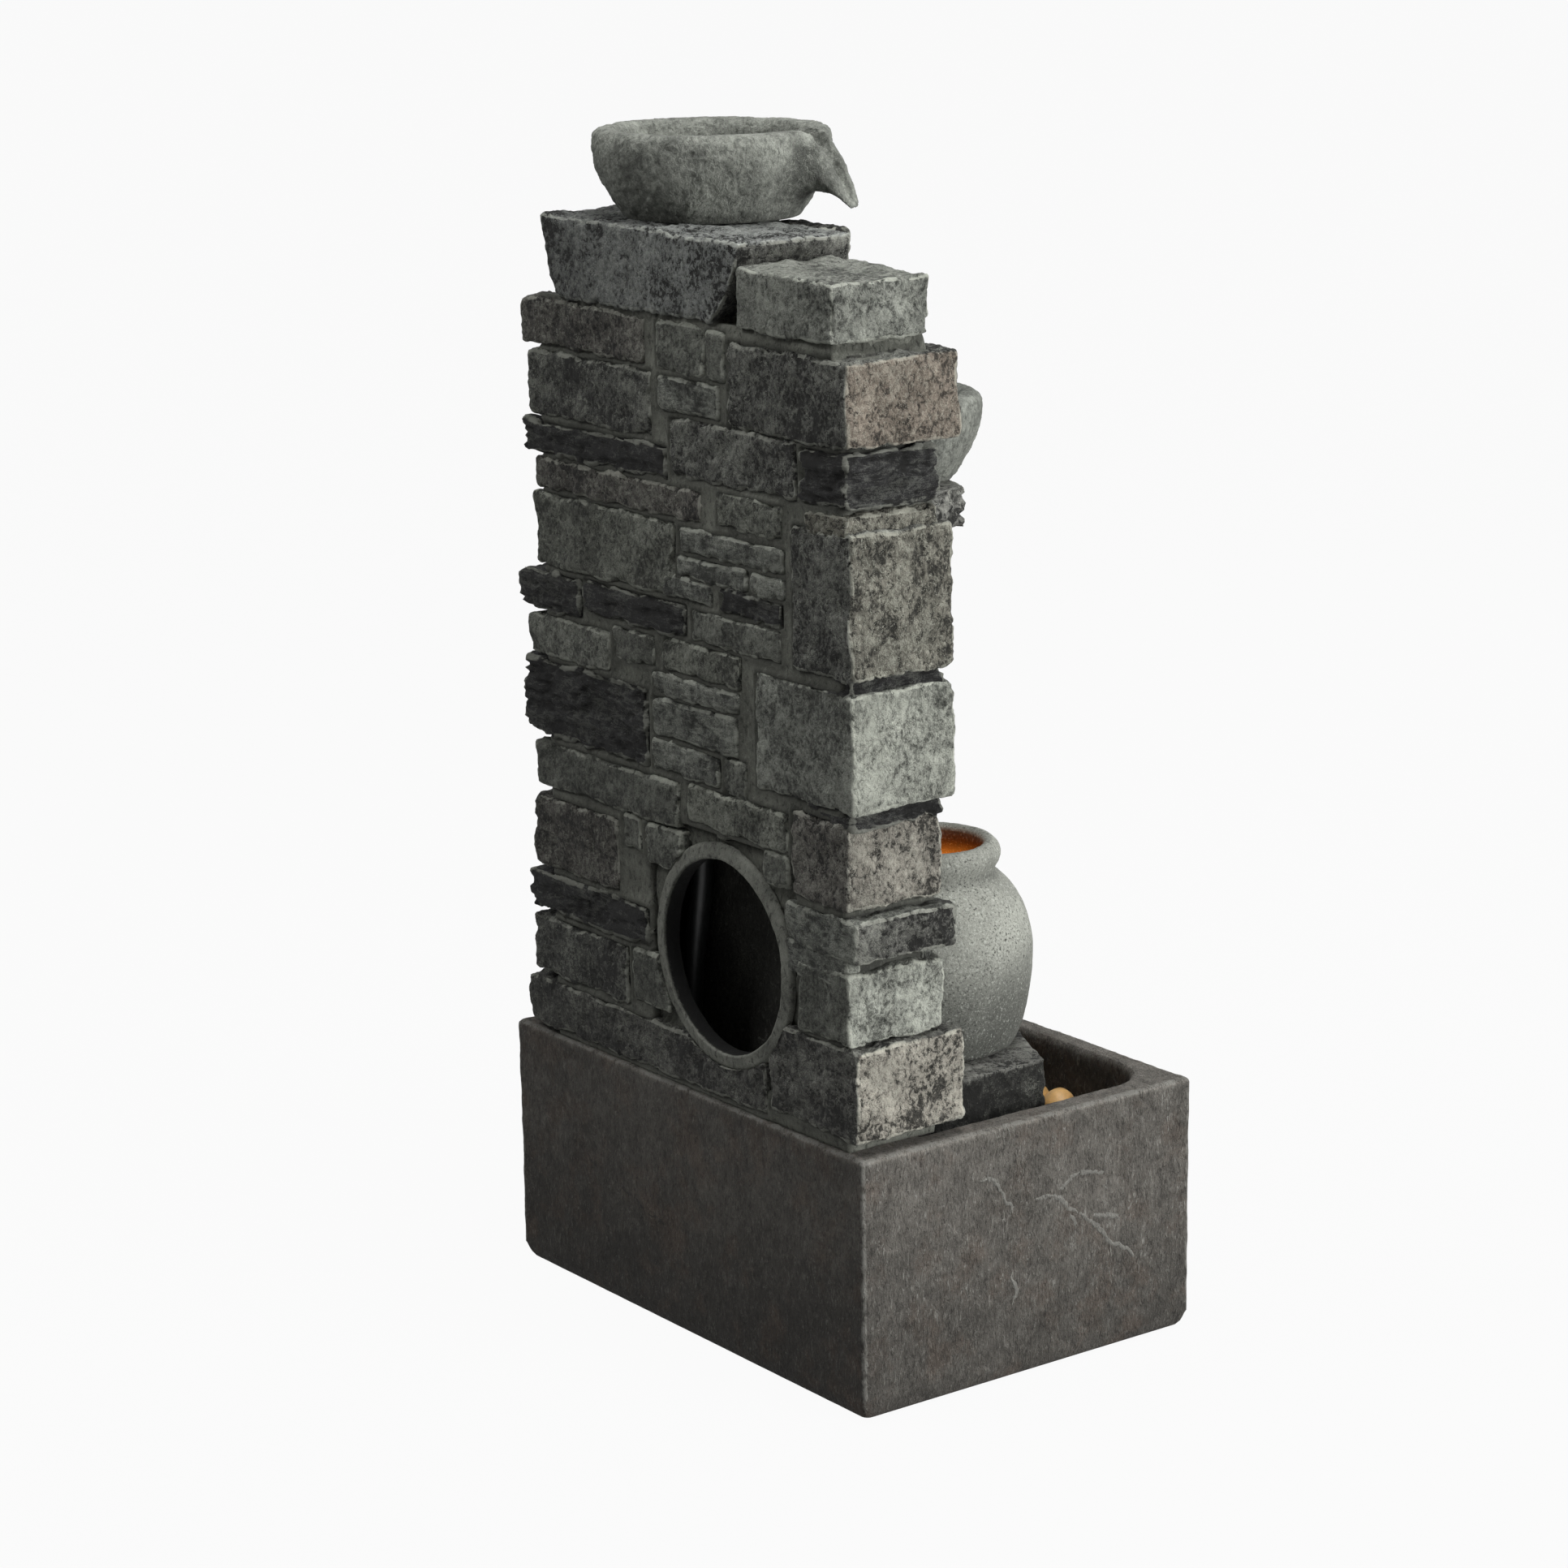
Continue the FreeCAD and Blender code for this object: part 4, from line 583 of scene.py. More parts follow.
left_stones, right_stones, back_stones, front_stones = [], [], [], []
for number, (x0, x1, z0, z1, y0, kind, side) in enumerate(QUOINS):
    near = min(x1, x0 + 66)
    left_stones.append(stone((x0, y0, z0), (near, STONE_BACK, z1), kind, 60 + number, 1.75, 3.2, side=side,
                             seam=near if near < x1 else NO_SEAM))
    if near < x1:
        back_stones.append(facing(near - 14, x1, z0, z1, kind, 60 + number, near - 14))
        front_stones.append(front_facing(near - 14, x1, z0 + 1, z1 - 1, 5, side, 60 + number))
for number, (x0, x1, z0, z1, proud, kind) in enumerate(STONES):
    split = x1 if x1 < WALL_RIGHT + 3 else max(x0, x1 - 75)
    if x1 > split:
        right_stones.append(stone((split, 72 - proud, z0), (x1 + 1, STONE_BACK, z1), kind, number, 2.1, 3.5,
                                  seam=split if split > x0 + 1 else NO_SEAM))
    if split > x0 + 1:
        back_stones.append(facing(x0, min(split + 9, x1), z0, z1, kind, number,
                                  split + 9 if x1 > split else NO_SEAM))
        front_stones.append(front_facing(x0, min(split + 9, x1), z0, z1, proud, kind, number))

# A shoulder stone, and two dark stones that fill deep joints at the left corner.

left_stones.append(stone((-196, 68, 598), (-150, 143, 617), "tan", 81, 2.0, 4, 1.6, side="tan"))
for number, (z0, z1) in enumerate(((496, 511), (408, 424))):
    left_stones.append(stone((-196.5, 66, z0), (-150, 142, z1), "slate", 83 + number, 2.0, 4, 1.2))
MID_HEIGHT = 455
for name, stones in (("left", left_stones), ("right", right_stones), ("back", back_stones)):
    for part, high in (("_high", True), ("_low", False)):
        chosen = [s for s in stones if (s[0][:, 2].mean() > MID_HEIGHT) == high]
        lay("wall_stones_" + name + part, chosen, wall_finish, "wall_stone", "tower_shell")
lay("wall_stones_front", front_stones, wall_finish, "wall_stone", "tower_shell")


def round_hole(level, window, sides, radius, count):
    """A square of wall at one Y with a round hole: rings that run from the square's edge in to the circle."""
    x0, x1, z0, z1 = window
    xs = steps(x0, x1, step=sides)
    zs = steps(z0, z1, step=sides)
    edge = np.concatenate([np.stack([xs[:-1], 0 * xs[:-1] + z0], 1), np.stack([0 * zs[:-1] + x1, zs[:-1]], 1),
                           np.stack([xs[:0:-1], 0 * xs[1:] + z1], 1), np.stack([0 * zs[1:] + x0, zs[:0:-1]], 1)])
    way = edge - [HOLE_X, HOLE_Z]
    circle = [HOLE_X, HOLE_Z] + way * (radius / np.linalg.norm(way, axis=1, keepdims=True))
    t = np.linspace(0, 1, count)[:, None, None]
    flat = edge * (1 - t) + circle * t
    flat = np.concatenate([flat, flat[:, :1]], axis=1)
    points = np.stack([flat[..., 0], np.full(flat.shape[:2], level), flat[..., 1]], axis=-1)
    return grid(points)


def mortar_wall():
    """The mortar core: an outer block and the hollow inside it, each with a round opening in its back."""
    window = (HOLE_X - 84, HOLE_X + 84, HOLE_Z - 84, HOLE_Z + 84)
    shells = []
    for low, high, size, inside in (
            ((WALL_LEFT, WALL_FRONT, WALL_FOOT), (WALL_RIGHT, WALL_BACK, WALL_TOP), 2.4, False),
            ((-183, 81, WALL_FOOT), (149, 131, 718), 3.5, True)):
        xs = steps(low[0], window[0], window[1], high[0], step=size)
        zs = steps(low[2], window[2], window[3], high[2], step=size)
        points, quads = block(xs, steps(low[1], high[1], step=4.0), zs, window)
        patch = round_hole(high[1], window, 168 / round(168 / size), HOLE_R + 1, 7)
        points, quads = weld([(points, quads), patch])
        shells.append((points, quads[:, ::-1] if inside else quads))
    return shells


def near_stone(p):
    """Distance in the wall's plane to the nearest stone's outline."""
    best = np.full(len(p), 99.0)
    for x0, x1, z0, z1, *_ in QUOINS + STONES:
        dx = np.maximum(np.maximum(x0 - p[:, 0], p[:, 0] - x1), 0)
        dz = np.maximum(np.maximum(z0 - p[:, 2], p[:, 2] - z1), 0)
        best = np.minimum(best, np.hypot(dx, dz))
    return best


def mortar_finish():
    """Trowelled mortar, grey-brown, darker in the joints, with grains of sand; painted shade where the mesh marks it.
    """
    paint = Paint("trowelled mortar", rough=0.88, Specular_IOR_Level=0.2)
    cloud = paint.noise(34, 4, 0.6)
    fine = paint.noise(300, 5, 0.66, 0.6, stretch=(1.0, 1.0, 0.6))
    dust = paint.noise(1400, 2, 0.6)
    level = 1.0 + 1.3 * (cloud - 0.5) + 1.2 * (fine - 0.5) + 1.2 * (dust - 0.5)
    colour = paint.tone(paint.mark("tint", "Color"), paint.maths("MAXIMUM", level, 0.1))
    low = paint.limit(0.45, 0.37, fine) * 0.5
    colour = paint.mix(paint.maths("MAXIMUM", low, paint.mark("dip") * 0.85), colour, (0.006, 0.006, 0.006))
    worn = paint.limit(0.57, 0.66, fine + 0.25 * (dust - 0.5)) * 0.35 * (1.0 - paint.mark("dip"))
    worn = paint.maths("MAXIMUM", worn, paint.limit(0.6, 1.1, paint.mark("edge") + 0.7 * (fine - 0.3)) * 0.6)
    colour = paint.mix(worn, colour, (0.235, 0.242, 0.212))
    return paint.wear(colour, 0.76 + 0.18 * dust, 0.7 * fine + 0.3 * dust + 0.35 * cloud, 0.0009)


mortar = mortar_finish()
outer, inner = mortar_wall()
points, quads = outer
normal = outward(points, quads)
gap = near_stone(points)
flat = np.abs(normal[:, 1])
fill = (0.8 + 0.9 * flat) + (0.8 + 1.6 * flat) * np.exp(-gap / 4.0)
fill = fill + 0.55 * rough(points, 22, 3) + 0.3 * ripple(points / 5)
points = points + normal * np.where(gap < 0.01, 0.8, fill)[:, None]
over = (points[:, 0] < -180.5) & (points[:, 2] > 714)
points[:, 2] = np.where(over, 714 + 0.2 * (points[:, 2] - 714), points[:, 2])
points = clear_hole(points, 76.0)
joint = ease(5.0, 0.5, gap) * (0.45 + 0.3 * ease(-165, -180, points[:, 0]))
tone = np.array([0.128, 0.132, 0.113]) * (1 + 0.3 * rough(points, 40, 3))[:, None]
piece("wall_mortar", points, quads, mortar, "wall_stone", "tower_shell", tint=tone, dip=joint, edge=0)
points, quads = inner
normal = outward(points, quads)
points = points + normal * (0.7 * rough(points, 30, 3))[:, None]
# Painted shade: the hollow inside the wall is tinted far darker than the mortar outside.
piece("wall_inside", points, quads, mortar, "wall_stone", "tower_shell", dip=0, edge=0,
      tint=np.array([0.05, 0.05, 0.044]) * (1 + 0.5 * rough(points, 35, 4))[:, None])


def hole_ring():
    """The flat ring round the service hole: a low band carried round the circle, trowelled into the mortar."""
    section = np.array([(0, 130.4), (0, 138), (0.1, 142.4), (0.5, 143.6), (1.5, 144.0), (3.2, 143.7), (5.6, 143.3),
                        (8.0, 143.0), (9.6, 142.5), (10.6, 141.7), (11.4, 140.4), (11.6, 138.8), (8, 136.5),
                        (2.5, 130.4)])
    outline = curve(section + [HOLE_R, 0], 60)
    outline = np.vstack([outline, outline[:1]])
    angle = np.linspace(0, 2 * math.pi, 421)
    radius, level = outline[:, :1], outline[:, 1:]
    points = np.stack([HOLE_X + radius * np.cos(angle), level + 0 * angle, HOLE_Z + radius * np.sin(angle)], -1)
    points[:, -1] = points[:, 0]
    points, quads = weld([grid(points, flip=True)])
    normal = outward(points, quads)
    points = points + normal * (0.35 * rough(points, 14, 3) + 0.2 * ripple(points / 4))[:, None]
    return points + wander(points, 34, 0.6), quads


points, quads = hole_ring()
far = np.hypot(points[:, 0] - HOLE_X, points[:, 2] - HOLE_Z) - HOLE_R
hole_wall_shade = ease(4.0, 2.0, far)
lit = np.exp(-((far - 1.0) / 1.0) ** 2) + 0.4 * np.exp(-((far - 9.2) / 1.0) ** 2)
# Painted shade: down the ring's inner wall, in the hole, the tint falls almost to black and the dark mark is set.
shade = (1 + 0.25 * rough(points, 22, 3)) * (1 - 0.92 * hole_wall_shade * ease(143.4, 141.6, points[:, 1]))
piece("service_hole_ring", points, quads, mortar, "wall_stone", "tower_shell",
      tint=np.array([0.175, 0.180, 0.157]) * shade[:, None], dip=hole_wall_shade * ease(142.5, 140, points[:, 1]),
      edge=0.85 * lit * ease(142, 144, points[:, 1]))


# The two stones on top, and their mortar bed.

top_finish = cast_stone("weathered top stone", 1.05)


def cap_warp(points):
    """The cap stone narrows downwards and its left end is rough."""
    t = (points[:, 2] - 728) / 56
    side = (points[:, 0] + 86) / 236
    fall = np.clip(1 - t, 0, 1.2)
    x = points[:, 0] + (14 * fall ** 1.15 + 19 * fall ** 1.6) * (1 - side) - 17 * fall ** 1.15 * side
    return np.column_stack([x, points[:, 1], points[:, 2] - 2.0 * ease(0.7, 0.0, side) * t])


def step_warp(points):
    """The step stone's top falls slightly to the left."""
    t = (points[:, 2] - 726) / 41
    side = (points[:, 0] + 185) / 103
    return np.column_stack([points[:, 0], points[:, 1], points[:, 2] - 2.5 * (1 - side) * t])


cap = stone((-86, 50, 728), (150, 146, 784.5), "blue", 3, 1.9, 3.5, 1.6, cap_warp, side="crag")
lip = stone((-42, 20, 757), (137, 62, 780), "crag", 9, 2.0, 4, 2.2)
lay("cap_stone_rough", [cap, lip], top_finish, "top_stone", "cap_stone")
step_stone = stone((-185, 65, 726.5), (-80, 146, 767.5), "dim", 5, 1.75, 3.2, 1.4, step_warp)
lay("step_stone_rough", [step_stone], top_finish, "top_stone", "step_stone")
bed = [stone((-180, 76, 717), (-95, 141.5, 730), "mortar", 61, 2.4, 3, 1.2),
       stone((-56, 78, 718), (134, 142, 731), "mortar", 62, 2.4, 3, 1.2),
       stone((-92, 66, 720), (-46, 104, 756), "mortar", 63, 2.4, 4, 1.2)]
points, quads, marks = joined(bed)
piece("mortar_bed", points, quads, mortar, "wall_stone", "tower_shell", tint=marks[:, :3], edge=0, dip=marks[:, 7])


# Bowls: a turned body and a drooping beak made one by a fine remesh, then roughened.

BOWL = [(0, -3), (45, -3), (59, -3), (61.6, -1.5), (62.8, 0.5), (66.2, 5), (72.8, 16), (78.8, 28), (81.8, 40),
        (82.4, 49), (81.2, 54.8), (78, 57.7), (73.5, 58.3), (69, 57.8), (65.6, 55.6), (63.4, 51), (60, 40), (52, 28),
        (39, 20), (20, 16.6), (0, 16)]


def beak(rows):
    """A solid through rounded sections along +X: rows of distance, underside, top and half width."""
    knots = curve(rows, 44)
    angle = np.linspace(0, 2 * math.pi, 65)[:-1]
    side = np.sign(np.cos(angle)) * np.abs(np.cos(angle)) ** 0.75
    tall = np.sign(np.sin(angle)) * np.abs(np.sin(angle)) ** 0.75
    x, low, top, half = (knots[:, k:k + 1] for k in range(4))
    loops = np.stack([x + 0 * side, half * side, (low + top) / 2 + (top - low) / 2 * tall], axis=-1)
    return rings(list(loops))


# The beak from the bowl's side to its tip, and the channel cut into it: distance from the bowl's axis, underside,
# top and half width.

BEAK = [(54, 22, 56.5, 26), (68, 18, 58.3, 27), (76, 16.8, 58.6, 24), (82, 16.5, 58, 20), (87, 16.3, 54, 17.8),
        (91, 15.8, 48.6, 16.8), (95, 15, 41.6, 15.9), (99, 13.6, 33.6, 14.8), (102.6, 11.7, 25.8, 13.4),
        (106, 9.2, 18, 11.4), (108.8, 6.8, 11.6, 8.8), (111, 4.6, 7.2, 5.6)]
CHANNEL = [(40, 46, 82, 9), (56, 45, 82, 11), (68, 44, 82, 11.5), (77, 43, 82, 10.8), (83, 40.5, 82, 9.7),
           (88, 35, 82, 8.9), (93, 27.5, 82, 8.3), (98, 20.5, 82, 7.7), (102.6, 15.6, 82, 6.9), (107, 11, 82, 5.6),
           (111, 6.5, 82, 4.2), (116, 1, 82, 3.4)]


def raw_object(name, points, quads):
    """A plain mesh object for the modifiers to work on."""
    mesh = bpy.data.meshes.new(name)
    mesh.from_pydata((points * MM).tolist(), [], triangles(quads).tolist())
    mesh.update()
    return shown(name, mesh)


def read_out(rows, name, kind, width=1):
    """One property of all rows of a mesh as an array."""
    values = np.empty(len(rows) * width, kind)
    rows.foreach_get(name, values)
    return values


def bowl_form():
    """The bowl with its beak and channel, beak along +X, as points and quads."""
    body = raw_object("bowl_body", *turned(curve(BOWL, 110), 180))
    spout = raw_object("bowl_beak", *beak(BEAK))
    groove = raw_object("bowl_channel", *beak(CHANNEL))
    for tool, how in ((spout, "UNION"), (groove, "DIFFERENCE")):
        change = body.modifiers.new(tool.name, "BOOLEAN")
        change.object = tool
        change.operation = how
        change.solver = "EXACT"
    fine = body.modifiers.new("fine", "REMESH")
    fine.mode = "VOXEL"
    fine.voxel_size = 1.25 * MM
    smooth = body.modifiers.new("smooth", "SMOOTH")
    smooth.factor = 0.5
    smooth.iterations = 4
    seen = bpy.context.evaluated_depsgraph_get()
    result = bpy.data.meshes.new_from_object(body.evaluated_get(seen), depsgraph=seen)
    points = read_out(result.vertices, "co", float, 3)
    sizes = read_out(result.polygons, "loop_total", int)
    starts = read_out(result.polygons, "loop_start", int)
    index = read_out(result.loops, "vertex_index", int)
    last = np.minimum(sizes, 4) - 1
    quads = np.stack([index[starts], index[starts + 1], index[starts + 2], index[starts + last]], axis=1)
    for made in (body, spout, groove):
        bpy.data.objects.remove(made)
    return points.reshape(-1, 3) / MM, quads


def valley(points, quads):
    """Rounds the crease where the beak grows out of the bowl: points near it move to the mean of their neighbours."""
    height = np.linspace(17, 50, 24)
    radius = np.interp(height, [16, 28, 40, 50], [72.8, 78.8, 81.8, 82.3])
    half = np.interp(height, [17, 24, 40, 50], [21, 22, 21, 20])
    crease = [np.stack([np.sqrt(radius ** 2 - half ** 2), side * half, height], 1) for side in (-1, 1)]
    across = np.linspace(-20, 20, 16)
    crease.append(np.stack([np.sqrt(73 ** 2 - across ** 2), across, np.full(16, 17.0)], 1))
    crease = np.concatenate(crease)
    area = np.flatnonzero((points[:, 0] > 45) & (points[:, 2] < 55.5) & (points[:, 2] > 0.5)
                          & (np.hypot(points[:, 0], points[:, 1]) > 68))
    gap = np.linalg.norm(points[area][:, None] - crease[None], axis=2).min(axis=1)
    weight = np.zeros(len(points))
    weight[area] = np.exp(-(gap / 11.0) ** 2) * ease(55, 48, points[area, 2])
    a, b = quads.ravel(), np.roll(quads, -1, axis=1).ravel()
    ends, others = np.concatenate([a, b]), np.concatenate([b, a])
    near = np.bincount(ends, minlength=len(points))
    points = points.copy()
    for _ in range(110):
        mean = np.stack([np.bincount(ends, points[others, k], len(points)) for k in range(3)], 1) / near[:, None]
        points += weight[:, None] * (mean - points) * 0.7
    return points, weight


bowl_points, bowl_quads = bowl_form()
bowl_points, bowl_crease_shade = valley(bowl_points, bowl_quads)
bowl_normals = outward(bowl_points, bowl_quads)
bowl_finish = cast_stone("weathered bowl", 1.0, (1.0, 1.0, 0.8), 0.0026, 0.55)


def bowl(name, node, x, y, z, heading, seed):
    """A bowl turned to its heading and set on its foot, with fine flecked relief."""
    points = spun(bowl_points, heading)
    normal = spun(bowl_normals, heading)
    where = points + seed * 57.0
    combed = where @ np.array([[0.94, 0.0, 0.34], [0.0, 1.0, 0.0], [-0.34, 0.0, 0.94]]) * [0.45, 1.0, 1.0]
    out = (0.6 * rough(combed, 6, 3, 0.6) + 0.7 * rough(where, 24, 3) + 0.2 * ripple(where / 2.4)
           - 0.6 * ease(0.4, 0.7, rough(where + 77, 7, 2)))
    low_down = ease(3, 0.5, points[:, 2])
    points = points + normal * (out * (1 - low_down))[:, None] + [x, y, z]
    tint = np.array([0.205, 0.214, 0.190]) * (1 + 0.3 * rough(where, 30, 3))[:, None]
    radius = np.hypot(bowl_points[:, 0], bowl_points[:, 1])
    top = ease(54, 57.5, bowl_points[:, 2]) * ease(60, 64, radius)
    # The bowl is tinted darker inside, and the dark mark darkens the inside a little.
    inside = ease(64, 58, radius) * ease(12, 18, bowl_points[:, 2])
    # Painted shade: the dark mark darkens the foot, the crease where the beak grows out and the beak's sides.
    foot = ease(10, 0, bowl_points[:, 2]) * (1 - inside)
    beak_side_shade = ease(80, 92, bowl_points[:, 0]) * ease(4, 9, np.abs(bowl_points[:, 1])) * ease(52, 44, bowl_points[:, 2])
    piece(name, points, bowl_quads, bowl_finish, "bowl_stone", node,
          tint=np.clip(tint * (1 - 0.35 * inside)[:, None], 0.01, 0.9), pit=0.16, fleck=0.34, leaf=0,
          edge=np.clip(0.45 * top + 0.08, 0, 1),
          dip=np.clip(0.4 * foot + 0.2 * inside + 0.6 * bowl_crease_shade + 0.3 * beak_side_shade, 0, 1))


BOWL_REACH = 82.5
MIDDLE_RISE = 5
top_low, top_high = cad("top_bowl")
bowl("top_bowl_rough", "top_bowl", top_high[0] - BOWL_REACH, top_high[1] - BOWL_REACH, top_low[2], 205, 1)
middle_low, middle_high = cad("middle_bowl")
bowl("middle_bowl_rough", "middle_bowl", middle_low[0] + BOWL_REACH, middle_high[1] - BOWL_REACH,
     middle_low[2] + MIDDLE_RISE, -20, 2)
lower_low, lower_high = cad("lower_bowl")
bowl("lower_bowl_rough", "lower_bowl", lower_high[0] - BOWL_REACH, lower_low[1] + BOWL_REACH, lower_low[2], 174, 3)


# Craggy shelves, the plinth and the pot.

POT_X, POT_Y, POT_FOOT = -75.0, -14.0, 208.0

rock_finish = cast_stone("split rock", 1.0, (1.0, 1.0, 0.7), 0.003)


def crag(name, node, plan, low_z, high_z, seed, slot, bulge, step, darken, top=0.0):
    """A rough slab: its plan's outline carried from foot to top, layered and cracked like split slate."""
    plan = np.asarray(plan, float)
    outline = evenly(plan, int(travelled(np.vstack([plan, plan[:1]]))[-1] / step), closed=True)
    outline = 0.5 * outline + 0.25 * (np.roll(outline, 1, axis=0) + np.roll(outline, -1, axis=0))
    shares = np.linspace(0.04, 1, 22)[:-1]
    loops = [lift(shrunk(outline, share), low_z) for share in shares]
    loops += [lift(outline, z) for z in np.linspace(low_z, high_z, max(3, int((high_z - low_z) / step)))]
    loops += [lift(shrunk(outline, share), high_z) for share in shares[::-1]]
    points, quads = rings(loops)
    normal = outward(points, quads)
    where = points + seed * 83.0
    leaf = where * [0.3, 0.3, 1.0] + wander(where, 30, 4)
    out = bulge * (ease(-0.3, 0.3, rough(leaf, 8, 3, 0.6)) - 0.5) + 1.1 * rough(where, 9, 4)
    flat = ease(0.5, 0.9, np.abs(normal[:, 2]))
    out = out * (1 - 0.65 * flat)
    points = points + normal * (out + 0.2)[:, None]
    dull = 0.6 + 0.4 * min(darken, 1)
    base = np.array(KINDS["crag"])
    # Painted light: faces that look up are tinted lighter, by as much as the top factor.
    tint = base[:3] * darken * ((1 + 0.4 * rough(where, 24, 3)) * (1 + top * ease(0.5, 0.9, normal[:, 2])))[:, None]
    arris = 1 - ease(0.0, 3.2, high_z - points[:, 2] + 3 * flat)
    edge = 0.25 * (1 - flat) + 0.25 * ease(0, 2, out) + 0.5 * arris
    piece(name, points, quads, rock_finish, slot, node, tint=np.clip(tint, 0.004, 0.9), pit=base[3],
          fleck=base[4] * dull, leaf=base[5], edge=np.clip(edge, 0, 1) * dull, dip=ease(-0.6, -2.6, out))


def shelf_plan(x, y):
    """A ledge's outline seen from above, round its bowl's axis, as in the CAD model."""
    back = 64.7
    return [(x + 73, back), (x - 107, back), (x - 101, back - 24), (x - 91, y + 6), (x - 79, y - 24),
            (x - 23, y - 41), (x + 34, y - 38), (x + 67, y)]


crag("middle_ledge_rock", "middle_ledge", shelf_plan(-8, -17), 570 + MIDDLE_RISE, 598 + MIDDLE_RISE, 4, "wall_stone",
     4.0, 2.2, 1.7)
crag("lower_ledge_rock", "lower_ledge", shelf_plan(66, -26), 394, 422, 5, "wall_stone", 4.0, 2.4, 1.7)
plinth_plan = [(8, 53), (-167, 53), (-167, -47), (-140, -58), (-100, -78), (-60, -84), (0, -72)]
crag("pot_plinth_rock", "pot_plinth", plinth_plan, 133.5, POT_FOOT, 6, "plinth_stone", 1.1, 2.2, 0.32, 3.6)


def pot_finish():
    """Speckled cast stone outside, amber lamp light on the inner wall."""
    paint = Paint("speckled jar", rough=0.8, Specular_IOR_Level=0.3, Emission_Strength=1.0)
    cloud = paint.noise(22, 4, 0.6)
    pores = paint.noise(560, 4, 0.62, 0.5)
    grain = paint.noise(1500, 2, 0.6)
    level = 1.0 + 0.9 * (cloud - 0.5) + 0.9 * (pores - 0.5) + 1.3 * (grain - 0.5)
    colour = paint.tone(paint.mark("tint", "Color"), level)
    speck = paint.limit(0.44, 0.36, pores) * (0.35 + 0.65 * paint.limit(0.35, 0.6, cloud)) * 0.9
    colour = paint.mix(speck, colour, (0.035, 0.035, 0.032))
    pale = paint.limit(0.57, 0.66, pores) * 0.45
    colour = paint.mix(pale, colour, (0.52, 0.54, 0.49))
    # Painted shade where the mesh marks it: the crease under the neck and the foot.
    colour = paint.mix(paint.mark("dip") * 0.6, colour, (0.02, 0.02, 0.018))
    glow = paint.tone(paint.mark("glow", "Color"), 0.6 + 0.8 * cloud)
    return paint.wear(colour, 0.78 + 0.12 * grain, 0.7 * pores + 0.3 * grain, 0.0008, glow)


POT = [(0, 0), (40, 0), (60, 0), (62.8, 1.4), (66.4, 8.5), (69.7, 17.4), (71.7, 27), (73.4, 36.4), (75, 46),
       (76, 55.5), (76.4, 65), (75.8, 74.6), (74, 84), (71.4, 93.6), (67.4, 103), (61.4, 112.4), (55.6, 118.6),
       (51.8, 121.8), (49.8, 124.6), (50.4, 128), (52.6, 132), (53.8, 136), (53.2, 140.4), (50.8, 144.2),
       (47.4, 146.2), (44, 146), (41.6, 143.6), (40.6, 139.6), (41.4, 133), (46, 124.5), (54, 115), (61, 104),
       (66.6, 90), (67.6, 74), (66, 54), (62, 32), (55, 14), (48, 9.6), (24, 9), (0, 9)]
points, quads = turned(curve(POT, 150), 220)
where = points + 500
normal = outward(points, quads)
out = 0.35 * rough(where, 26, 3) + 0.16 * rough(where, 5, 3) - 0.5 * ease(0.5, 0.85, rough(where + 50, 6, 2))
points = points + normal * (out * ease(0.2, 3, points[:, 2]))[:, None]
z = points[:, 2]
faces_in = (normal[:, 0] * points[:, 0] + normal[:, 1] * points[:, 1]) < -1e-6
inner = ((z < 144) & (faces_in | ((np.hypot(points[:, 0], points[:, 1]) < 44) & (z > 5)))).astype(float)
glow = (inner * ease(141, 110, z) ** 1.6)[:, None] * np.array([0.82, 0.24, 0.03])
# Painted shade: the jar is tinted up to 66% darker towards its foot.
shade = (1 + 0.14 * rough(where, 36, 3)) * (1 - 0.66 * ease(92, 18, z))
tint = np.where(inner[:, None] > 0, [0.11, 0.055, 0.028], np.array([0.276, 0.284, 0.251]) * shade[:, None])
# Painted shade: the crease under the neck and the foot get the dark mark.
crease = np.exp(-((z - 124.5) / 3.5) ** 2) * (1 - inner) * 0.45
piece("pot_jar", points + [POT_X, POT_Y, POT_FOOT], quads, pot_finish(), "pot_stone", "pot",
      tint=tint, dip=np.clip(crease + 0.25 * ease(6, 0, z), 0, 1), glow=glow)


# The basin, with its cracks, the partition in it and the pebbles on the pool's shelf. The sump is a deeper pocket
# at the back of the pool.

SHELF_Z = 133
POOL_X = 188
SUMP_LEFT, SUMP_RIGHT, SUMP_FRONT, SUMP_BACK = -183, 149, 82, 133.4

# Cracks on the left side, as places along Y and Z, then on the back, along X and Z.

CRACKS = [
    [[(46, 151), (34, 149), (28, 143), (22, 131), (12, 123)],
     [(4, 127), (-21, 125), (-34, 114), (-50, 103), (-62, 92), (-73, 80), (-84, 74), (-96, 63)],
     [(-21, 125), (-39, 137), (-52, 136), (-69, 132)], [(-50, 103), (-66, 101), (-82, 96)],
     [(-34, 114), (-38, 104), (-46, 96)], [(20, 78), (14, 66), (16, 52)]],
    [[(145, 111), (124, 106), (112, 99), (103, 97)],
     [(82, 94), (70, 88), (57, 85), (44, 80), (32, 80), (20, 74)], [(57, 85), (52, 76), (50, 66)]],
]


